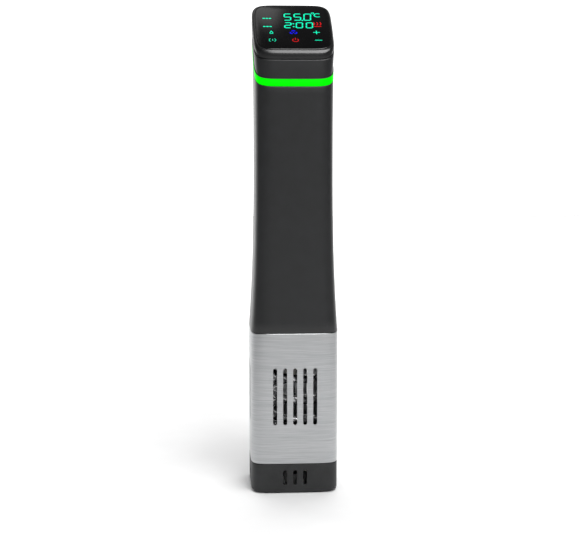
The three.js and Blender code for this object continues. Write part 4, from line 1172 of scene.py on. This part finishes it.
def make_heater():
    """A tube that comes down from one nut, winds round three times and goes up to the other nut."""
    low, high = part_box("heater_coil")
    first, last = centre("heater_nut_1"), centre("heater_nut_2")
    coil = first.x
    radius = high.x - coil
    plate_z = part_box("seal_plate")[0].z
    coil_top, coil_low = plate_z - 14 * MM, low.z + radius - 0.7 * MM
    entry_rise, bend_out, bend_rise, riser = 8 * MM, 1 * MM, 4 * MM, 14 * MM
    turns = 3 + math.atan2(last.y, last.x) / math.tau
    points = [Vector((coil, 0, z)) for z in (high.z, plate_z, coil_top + entry_rise)]
    steps = 72
    for i in range(1, steps + 1):
        turn = math.tau * turns * i / steps
        z = coil_top + (coil_low - coil_top) * i / steps
        points.append(Vector((coil * math.cos(turn), coil * math.sin(turn), z)))
    points.append(Vector((last.x + bend_out, last.y, coil_low + bend_rise)))
    for z in (coil_low + riser, coil_top, plate_z, high.z):
        points.append(Vector((last.x, last.y, z)))
    mesh = bpy.data.meshes.new("heater_tube")
    mesh.from_pydata(points, [(i, i + 1) for i in range(len(points) - 1)], [])
    piece = link("heater_tube", mesh)
    grow(piece, SWEPT, {"Radius": radius, "Sides": 32, "Spacing": 1.5 * MM, "Material": TUBE})
    hand_over(piece, "housing", "stainless_tube", "heater_coil")


def rod(name, node, finish, slot, body="housing", tip=1.0):
    """A round rod with a domed lower end, in the place of its CAD node."""
    low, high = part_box(node)
    middle = (low + high) / 2
    radius = (high.x - low.x) / 2
    dome, edge = radius * tip, 0.4 * MM
    rows = [(0, low.z), *round_edge(radius - dome, low.z + dome, dome, -80, 0, 6)]
    rows += [(radius, high.z - edge), (radius - edge, high.z), (0, high.z)]
    piece = turned(name, rows, finish, (middle.x, middle.y, 0), sides=40)
    hand_over(piece, body, slot, node)


def sleeve(name, node, finish, slot, bore, grooves):
    """A round sleeve with chamfered ends and grooves, in the place of its CAD node."""
    low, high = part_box(node)
    middle = (low + high) / 2
    radius = (high.x - low.x) / 2
    edge, half = 0.4 * MM, 0.6 * MM
    rows = [(bore, low.z), (radius - edge, low.z), (radius, low.z + edge)]
    for i in range(grooves):
        z = low.z + (high.z - low.z) * (i + 1) / (grooves + 1)
        rows += [(radius, z - half), (radius - half, z - half / 2)]
        rows += [(radius - half, z + half / 2), (radius, z + half)]
    rows += [(radius, high.z - edge), (radius - edge, high.z), (bore, high.z)]
    piece = turned(name, rows, finish, (middle.x, middle.y, 0), sides=48, closed=True)
    hand_over(piece, "housing", slot, node)


def make_probes():
    rod("probe_sheath", "temperature_probe", TUBE, "stainless_tube")
    electrode_bore = 1.6 * MM
    for level_name in ("low", "high"):
        electrode = f"{level_name}_level_electrode"
        rod(f"{level_name}_electrode", electrode, TUBE, "stainless_tube", tip=0.6)
    for level_name in ("low", "high"):
        insulator = f"{level_name}_electrode_insulator"
        sleeve(f"{level_name}_insulator", insulator, ACETAL, "white_moulding", electrode_bore, 1)
    sleeve("bearing_sleeve", "bearing_tube", ACETAL, "white_moulding", SHAFT_BORE, 3)


def make_pump():
    rod("drive_shaft", "pump_shaft", TUBE, "stainless_tube", body="rotor", tip=0.25)
    low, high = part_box("impeller_nut")
    size = high - low
    chamfer = 0.7 * MM
    reach = size.y / 2
    corner = max(size.x / 2 / math.cos(math.pi / 6), reach)
    end, middle = hexagon(corner, reach * 0.9), hexagon(corner, reach * 0.985)
    rows = [(SHAFT_BORE, low.z), (end, low.z), (middle, low.z + chamfer)]
    rows += [(middle, high.z - chamfer), (end, high.z), (SHAFT_BORE, high.z)]
    piece = turned("shaft_nut", rows, SCREW_STEEL, sides=72, closed=True)
    hand_over(piece, "rotor", "stainless_tube", "impeller_nut")
    make_impeller()


def blade_points(low_z, high_z, hub, tip):
    """A twisted blade's two skins, each spans x chords quads, from inside the hub to the tip."""
    thickness, lean, sweep = 1.1 * MM, 0.6, 0.25
    root = hub - 0.8 * MM
    chord_thinning, span_thinning, untwist = 0.55, 0.3, 0.25
    length = high_z - low_z - 1.2 * MM
    middle_z = (low_z + high_z) / 2
    points = []
    for side in (-1, 1):
        for i in range(SPANS + 1):
            share = i / SPANS
            reach = root + (tip - root) * share
            for j in range(CHORDS + 1):
                along = (j / CHORDS - 0.5) * length
                across = 1 - chord_thinning * (2 * j / CHORDS - 1) ** 2
                thin = thickness / 2 * across * (1 - span_thinning * share)
                drift = -math.tan(lean) * along * (1 - untwist * share) + side * thin
                turn = drift / max(reach, hub) + sweep * share**2
                points.append((reach * math.cos(turn), reach * math.sin(turn), middle_z + along))
    return points


def blade_faces():
    """The two skins of a blade, and the strip that closes them round the rim."""
    row = CHORDS + 1
    stride = (SPANS + 1) * row
    faces = []
    for side in (0, 1):
        for i in range(SPANS):
            for j in range(CHORDS):
                a = side * stride + i * row + j
                faces.append((a, a + 1, a + row + 1, a + row))
    rim = [i * row for i in range(SPANS + 1)]
    rim += [SPANS * row + j for j in range(1, row)]
    rim += [i * row + CHORDS for i in range(SPANS - 1, -1, -1)]
    rim += list(range(CHORDS - 1, 0, -1))
    return faces + [(a, b, b + stride, a + stride) for a, b in zip(rim, rim[1:] + rim[:1])]


def make_impeller():
    """A hub with five twisted blades."""
    low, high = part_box("impeller")
    hub, edge, tip_room = 5.5 * MM, 0.5 * MM, 0.2 * MM
    rows = [(SHAFT_BORE, low.z), (hub - edge, low.z), (hub, low.z + edge)]
    rows += [(hub, high.z - edge), (hub - edge, high.z), (SHAFT_BORE, high.z)]
    hub_piece = turned("impeller_hub", rows, ACETAL, sides=48, closed=True)
    tip = max(high.x, -low.x, high.y, -low.y) - tip_room
    mesh = bpy.data.meshes.new("impeller_wheel")
    mesh.from_pydata(blade_points(low.z, high.z, hub, tip), [], blade_faces())
    wheel = link("impeller_wheel", mesh)
    face_outwards(wheel)
    grow(wheel, COPIES, {"Count": 5, "Material": ACETAL})
    merge_into(wheel, hub_piece)
    hand_over(wheel, "rotor", "white_moulding", "impeller")


def merge_into(piece, other):
    """Adds another piece's mesh to a piece, and removes the other."""
    shape = bmesh.new()
    shape.from_mesh(piece.data)
    shape.from_mesh(other.data)
    shape.to_mesh(piece.data)
    shape.free()
    bpy.data.objects.remove(other)


# ------------------------------------------------------------------ clamp and cord gland

BUSH_HOLE = 6.5 * MM


def hook_outline(low, high, plate_y, arm_y):
    """The bracket's side view: a hook over the pan's wall, its back following the tower."""
    throat_z = high.z - 12 * MM
    outer, inner, tip = 7 * MM, 3 * MM, 2 * MM
    back_steps = 10

    def arc(y, z, radius, start, end, steps=8):
        turns = [math.radians(start + (end - start) * i / steps) for i in range(steps + 1)]
        return [(y + radius * math.cos(t), z + radius * math.sin(t)) for t in turns]

    outline = [(plate_y, low.z)]
    outline += arc(plate_y + inner, throat_z - inner, inner, 180, 90)
    outline += arc(arm_y - inner, throat_z - inner, inner, 90, 0)
    outline += [(arm_y, low.z + tip), (arm_y + tip, low.z), (high.y, low.z)]
    outline += arc(high.y - outer, high.z - outer, outer, 0, 90, 12)
    for i in range(back_steps + 1):
        z = high.z + (low.z - high.z) * i / back_steps
        outline.append((half_depth_at(z) + 1.5 * GAP, z))
    return outline


def make_bracket():
    """The clamp's hook, bored for its two screws and its bush."""
    low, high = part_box("clamp_bracket")
    insert_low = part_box("threaded_insert")[0]
    plate_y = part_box("throat_cushion")[0].y - GAP
    arm_y = insert_low.y
    shape = bmesh.new()
    outline = hook_outline(low, high, plate_y, arm_y)
    face = shape.faces.new([shape.verts.new((low.x, y, z)) for y, z in outline])
    grown = bmesh.ops.extrude_face_region(shape, geom=[face])["geom"]
    for part in grown:
        if isinstance(part, bmesh.types.BMVert):
            part.co.x = high.x
    bmesh.ops.recalc_face_normals(shape, faces=shape.faces)
    ends = [edge for edge in shape.edges if abs(edge.verts[0].co.x - edge.verts[1].co.x) < 1e-7]
    rounding = {"offset": 0.9 * MM, "segments": 3, "profile": 0.5, "clamp_overlap": True}
    bmesh.ops.bevel(shape, geom=ends, affect="EDGES", **rounding)
    mesh = bpy.data.meshes.new("clamp_hook")
    shape.to_mesh(mesh)
    shape.free()
    piece = link("clamp_hook", mesh)
    bore_bracket(piece, high, arm_y)
    hand_over(piece, "housing", "black_moulding", "clamp_bracket")
    make_bush(high.y + GAP)


def bore_bracket(piece, high, arm_y):
    """Counterbores for the two screws' heads, and the hole for the threaded bush."""
    screw, screw_end = centre("bracket_screw_1"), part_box("bracket_screw_1")[1].y
    head_radius, head_depth, overrun = 2.7 * MM, 2.3 * MM, 4 * MM
    reach = high.y - screw_end + overrun
    start = (-abs(screw.x), screw_end - head_depth + reach / 2, screw.z)
    heads = {"Count": 2, "Radius": head_radius, "Depth": reach, "Start": start}
    grow(piece, BORES, {**heads, "Step": (2 * abs(screw.x), 0, 0), "Material": NYLON})
    middle = (0, arm_y + 5 * MM, centre("threaded_insert").z)
    hole = {"Count": 1, "Radius": BUSH_HOLE, "Depth": 20 * MM, "Start": middle}
    grow(piece, BORES, {**hole, "Step": (0, 0, 0), "Material": NYLON})


def make_bush(lip_y):
    """The brass bush that the clamp's screw runs in, with a flange outside the arm."""
    low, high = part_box("threaded_insert")
    bore, edge = 4.2 * MM, 0.3 * MM
    flange = (high.x - low.x) / 2
    rows = [
        (bore + edge, low.y),
        (BUSH_HOLE - GAP, low.y),
        (BUSH_HOLE - GAP, lip_y),
        (flange - edge, lip_y),
        (flange, lip_y + edge),
        (flange, high.y - edge),
        (flange - edge, high.y),
        (bore + edge, high.y),
        (bore, high.y - edge),
        (bore, low.y + edge),
    ]
    place = (0, 0, centre("threaded_insert").z)
    piece = turned("thread_bush", rows, BRASS, place, along_y=True, closed=True)
    hand_over(piece, "housing", "brass_fitting", "threaded_insert")


def slab(name, low, high, finish, round_size):
    """A box with rounded edges between two corners."""
    shape = bmesh.new()
    bmesh.ops.create_cube(shape, size=1)
    for vert in shape.verts:
        vert.co = Vector(low[i] + (high[i] - low[i]) * (vert.co[i] + 0.5) for i in range(3))
    rounding = {"offset": round_size, "segments": 3, "profile": 0.5}
    bmesh.ops.bevel(shape, geom=shape.edges[:], affect="EDGES", **rounding)
    mesh = bpy.data.meshes.new(name)
    shape.to_mesh(mesh)
    shape.free()
    mesh.materials.append(finish)
    return link(name, mesh)


def make_throat_cushion():
    """A ribbed rubber pad on the bracket's plate."""
    low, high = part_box("throat_cushion")
    rib, end_margin, side_margin = 0.7 * MM, 2 * MM, 1 * MM
    count = 9
    thick = high.y - rib
    piece = slab("throat_pad", low, (high.x, thick, high.z), RUBBER, 0.4 * MM)
    pitch = (high.z - low.z - 2 * end_margin) / (count - 1)
    length = high.x - low.x - 2 * side_margin
    values = {"Count": count, "Radius": rib, "Length": length, "Pitch": pitch}
    start = (0, thick, low.z + end_margin)
    grow(piece, RIBS, {**values, "Start": start, "Material": RUBBER})
    hand_over(piece, "housing", "black_rubber", "throat_cushion")


def make_pad_rubber(axis_z):
    """The pad's rubber face, with four round ridges."""
    low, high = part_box("pad_cushion")
    radius = (high.x - low.x) / 2
    ridge, rim_edge, rim = 0.45 * MM, 0.3 * MM, 0.6 * MM
    foot, crest = 0.9 * MM, 0.4 * MM  # half widths of a ridge
    rows = [(0, high.y), (radius - rim_edge, high.y), (radius, high.y - rim_edge)]
    rows += [(radius, low.y + rim), (radius - crest, low.y + ridge)]
    for i in (4, 3, 2, 1):
        step = radius * i / 5
        rows += [(step + foot, low.y + ridge), (step + crest, low.y)]
        rows += [(step - crest, low.y), (step - foot, low.y + ridge)]
    rows.append((0, low.y + ridge))
    piece = turned("pad_rubber", rows, RUBBER, (0, 0, axis_z), along_y=True)
    hand_over(piece, "clamp_pad", "black_rubber", "pad_cushion")


def make_pressure_pad(axis_z):
    """A round pad with a collar and a socket for the screw's end."""
    low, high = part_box("clamp_pad")
    radius = (high.x - low.x) / 2
    edge, shoulder, collar_height = 0.4 * MM, 1.2 * MM, 1.2 * MM
    socket, socket_floor = 4.2 * MM, low.y + 2 * MM
    collar, collar_end, chamfer = socket + 2.2 * MM, socket + 1.8 * MM, 0.6 * MM
    rows = [(0, low.y), (radius - edge, low.y), (radius, low.y + edge)]
    rows += round_edge(radius - shoulder, high.y - collar_height - shoulder, shoulder, 0, 80)
    rows += [(collar, high.y - chamfer), (collar_end, high.y), (socket, high.y)]
    rows += [(socket, socket_floor), (0, socket_floor)]
    piece = turned("pressure_pad", rows, NYLON, (0, 0, axis_z), along_y=True)
    hand_over(piece, "clamp_pad", "black_moulding", "clamp_pad")


def make_spindle(axis_z):
    """The clamp's screw: a core with chamfered ends, and its thread short of both."""
    low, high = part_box("clamp_screw")
    pitch, relief, chamfer, sunk = 2 * MM, 0.75 * MM, 0.6 * MM, 0.02 * MM
    bare, bare_end = 3 * MM, 6 * MM
    core = (high.x - low.x) / 2 - relief
    rows = [(0, low.y), (core - chamfer, low.y), (core, low.y + chamfer)]
    rows += [(core, high.y - chamfer), (core - chamfer, high.y), (0, high.y)]
    piece = turned("clamp_spindle", rows, PLATED, sides=48)
    winding = {"Pitch": pitch, "Length": high.y - low.y - bare - bare_end, "Start": low.y + bare}
    section = {"Radius": core + sunk, "Crest": relief - sunk}
    grow(piece, THREAD, {**winding, **section, "Material": PLATED})
    for vert in piece.data.vertices:
        vert.co.z += axis_z
    hand_over(piece, "clamp_screw", "plated_steel", "clamp_screw")


def make_clamp_screw():
    axis_z = centre("clamp_screw").z
    make_pad_rubber(axis_z)
    make_pressure_pad(axis_z)
    make_spindle(axis_z)
    make_knob(axis_z)


def make_knob(axis_z):
    """A six-lobed grip on a round neck, with a shallow dish in its outer face."""
    low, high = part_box("clamp_knob")
    radius = (high.x - low.x) / 2
    screw_low, screw_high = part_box("clamp_screw")
    crest = (screw_high.x - screw_low.x) / 2
    lobes, depth = 6, 1.1 * MM
    neck, flare, flare_rise = crest + 3 * MM, 0.6 * MM, 1.6 * MM

    def lobed(share):
        return lambda turn: share * (radius - depth + depth * math.cos(lobes * turn))

    # each is a share of the radius, and millimetres from the inner or the outer end
    inner = [(0.68, 2.6), (0.9, 2.9), (0.97, 3.6), (1.0, 4.8)]
    outer = [(1.0, 2.2), (0.985, 1.2), (0.93, 0.4), (0.86, 0.05)]
    dish = [(0.74, 0), (0.68, 0.1), (0.64, 0.8), (0.2, 1.0), (0, 1.0)]
    rows = [(crest + GAP, low.y), (neck, low.y), (neck + flare, low.y + flare_rise)]
    rows += [(lobed(share), low.y + rise * MM) for share, rise in inner]
    rows += [(lobed(share), high.y - drop * MM) for share, drop in outer]
    rows += [(share * radius, high.y - drop * MM) for share, drop in dish]
    piece = turned("grip_knob", rows, NYLON, (0, 0, axis_z), along_y=True, sides=144)
    hand_over(piece, "clamp_screw", "knob_rubber", "clamp_knob")


def make_gland():
    """A rubber gland in the back wall: a round lip and a stub that the cord would leave by."""
    low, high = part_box("cord_gland")
    axis_z = (low.z + high.z) / 2
    lip = (high.x - low.x) / 2
    body, bore = 6.5 * MM, 3.8 * MM
    lip_y = half_depth_at(axis_z) + GAP
    edge, lip_height, lip_round, stub_edge = 0.3 * MM, 1.4 * MM, 1.0 * MM, 0.6 * MM
    rows = [(bore, low.y), (body, low.y), (body, lip_y), (lip - edge, lip_y)]
    rows += [(lip, lip_y + edge), (lip, lip_y + lip_height)]
    rows += round_edge(lip - lip_round, lip_y + lip_height, lip_round, 20, 80, 3)
    rows += [(body + stub_edge, high.y - stub_edge), (body - 0.2 * MM, high.y - stub_edge)]
    rows += [(body - 0.5 * MM, high.y), (bore + 1.2 * MM, high.y), (bore, high.y - 0.8 * MM)]
    piece = turned("gland_body", rows, RUBBER, (0, 0, axis_z), along_y=True, closed=True)
    hand_over(piece, "housing", "black_rubber", "cord_gland")


make_skirt()
make_base()
make_all_screws()
make_seal_plate()
make_heater()
make_probes()
make_pump()
make_bracket()
make_throat_cushion()
make_clamp_screw()
make_gland()

# ------------------------------------------------------------------ carried-over nodes

CARRIED = {
    "satin_black_shell": SHELL,
    "black_display_glass": ACRYLIC,
    "green_light_ring": LIGHT_GUIDE,
    "brushed_skirt_steel": SHEET,
    "stainless_tube": TUBE,
    "plated_steel": PLATED,
    "screw_steel": SCREW_STEEL,
    "bare_aluminium": ALUMINIUM,
    "brass_fitting": BRASS,
    "black_moulding": NYLON,
    "white_moulding": ACETAL,
    "circuit_board": BOARD,
    "black_rubber": RUBBER,
    "knob_rubber": RUBBER,
    "red_silicone": SILICONE,
}


def paint_carried_nodes():
    """Gives every CAD node the finish of its material slot in the record."""
    for part in frame["record"]["subparts"]:
        data = frame["nodes"][part["node"]].data
        data.materials.clear()
        data.materials.append(CARRIED[part["material_slot"]])


paint_carried_nodes()

# ------------------------------------------------------------------ studio

FLOOR_SIZE = 6.0
SENSOR = 36.0
LENS = 77.0
CAMERA_DISTANCE = 1.0
CAMERA_HEIGHT = 0.294
CAMERA_AZIMUTH = math.radians(-3.8)
CAMERA_TILT = math.radians(6.8)
CAMERA_PAN = math.radians(0.14)


def make_floor():
    mesh = bpy.data.meshes.new("floor")
    half = FLOOR_SIZE / 2
    corners = [(-half, -half, 0), (half, -half, 0), (half, half, 0), (-half, half, 0)]
    mesh.from_pydata(corners, [], [(0, 1, 2, 3)])
    made, tree, shader = material("matte_white_board", "#f2f2f2", 0.7)
    mottle(tree, shader, object_point(tree), ("#f0f0f0", "#f5f5f5"), 60.0, 0.7, 0.04)
    mesh.materials.append(made)
    link("floor", mesh)


def make_softbox(name, place, target, size, energy):
    """A rectangular light at a place, facing a target, with its size in metres and power in watts."""
    lamp = bpy.data.lights.new(name, "AREA")
    lamp.shape = "RECTANGLE"
    lamp.size, lamp.size_y = size
    lamp.energy = energy
    holder = bpy.data.objects.new(name, lamp)
    holder.location = place
    aim = Vector(target) - Vector(place)
    holder.rotation_euler = aim.to_track_quat("-Z", "Y").to_euler()
    bpy.context.scene.collection.objects.link(holder)
    return holder


def make_studio():
    """A white backdrop behind, dark flags at the sides and above, and four soft boxes."""
    bpy.context.scene.view_settings.view_transform = "Standard"
    world = bpy.data.worlds.new("studio")
    world.use_nodes = True
    tree = world.node_tree
    backdrop = tree.nodes["Background"]
    direction = add(tree, "ShaderNodeTexCoord").outputs["Generated"]
    parts = add(tree, "ShaderNodeSeparateXYZ", {"Vector": direction}).outputs
    # strengths, and the share of a direction that lies along the axis where each starts and ends
    back = {"From Min": 0.2, "From Max": 0.75, "To Min": 0.32, "To Max": 1.6}
    top = {"From Min": 0.35, "From Max": 0.75, "To Min": 1.0, "To Max": 0.08}
    behind = add(tree, "ShaderNodeMapRange", {"Value": parts["Y"], **back})
    above = add(tree, "ShaderNodeMapRange", {"Value": parts["Z"], **top})
    light = add(tree, "ShaderNodeMath", {0: behind, 1: above}, operation="MULTIPLY")
    tree.links.new(light.outputs[0], backdrop.inputs["Strength"])
    backdrop.inputs["Color"].default_value = (1, 1, 1, 1)
    bpy.context.scene.world = world
    middle = (0, 0, 0.2)
    make_softbox("overhead_softbox", (0.27, -0.72, 1.4), (0.27, -0.72, 0), (0.62, 1.3), 22)
    make_softbox("front_softbox", (0.5, -2.4, 0.9), middle, (1.0, 1.2), 3)
    make_softbox("rear_softbox", (-0.23, 0.86, 1.75), (-0.23, 0.86, 0), (0.5, 0.5), 0.7)
    floor_light = make_softbox("floor_softbox", (0, 2.0, 1.6), (0, 2.0, 0), (4.0, 1.6), 70)
    floor_light.visible_glossy = False


def make_camera():
    data = bpy.data.cameras.new("camera")
    data.sensor_width = SENSOR
    data.lens = LENS
    camera = bpy.data.objects.new("camera", data)
    away = Vector((math.sin(CAMERA_AZIMUTH), -math.cos(CAMERA_AZIMUTH), 0))
    camera.location = away * CAMERA_DISTANCE + Vector((0, 0, CAMERA_HEIGHT))
    camera.rotation_euler = (math.pi / 2 - CAMERA_TILT, 0, CAMERA_AZIMUTH + CAMERA_PAN)
    bpy.context.scene.collection.objects.link(camera)
    bpy.context.scene.camera = camera


make_floor()
make_studio()
make_camera()
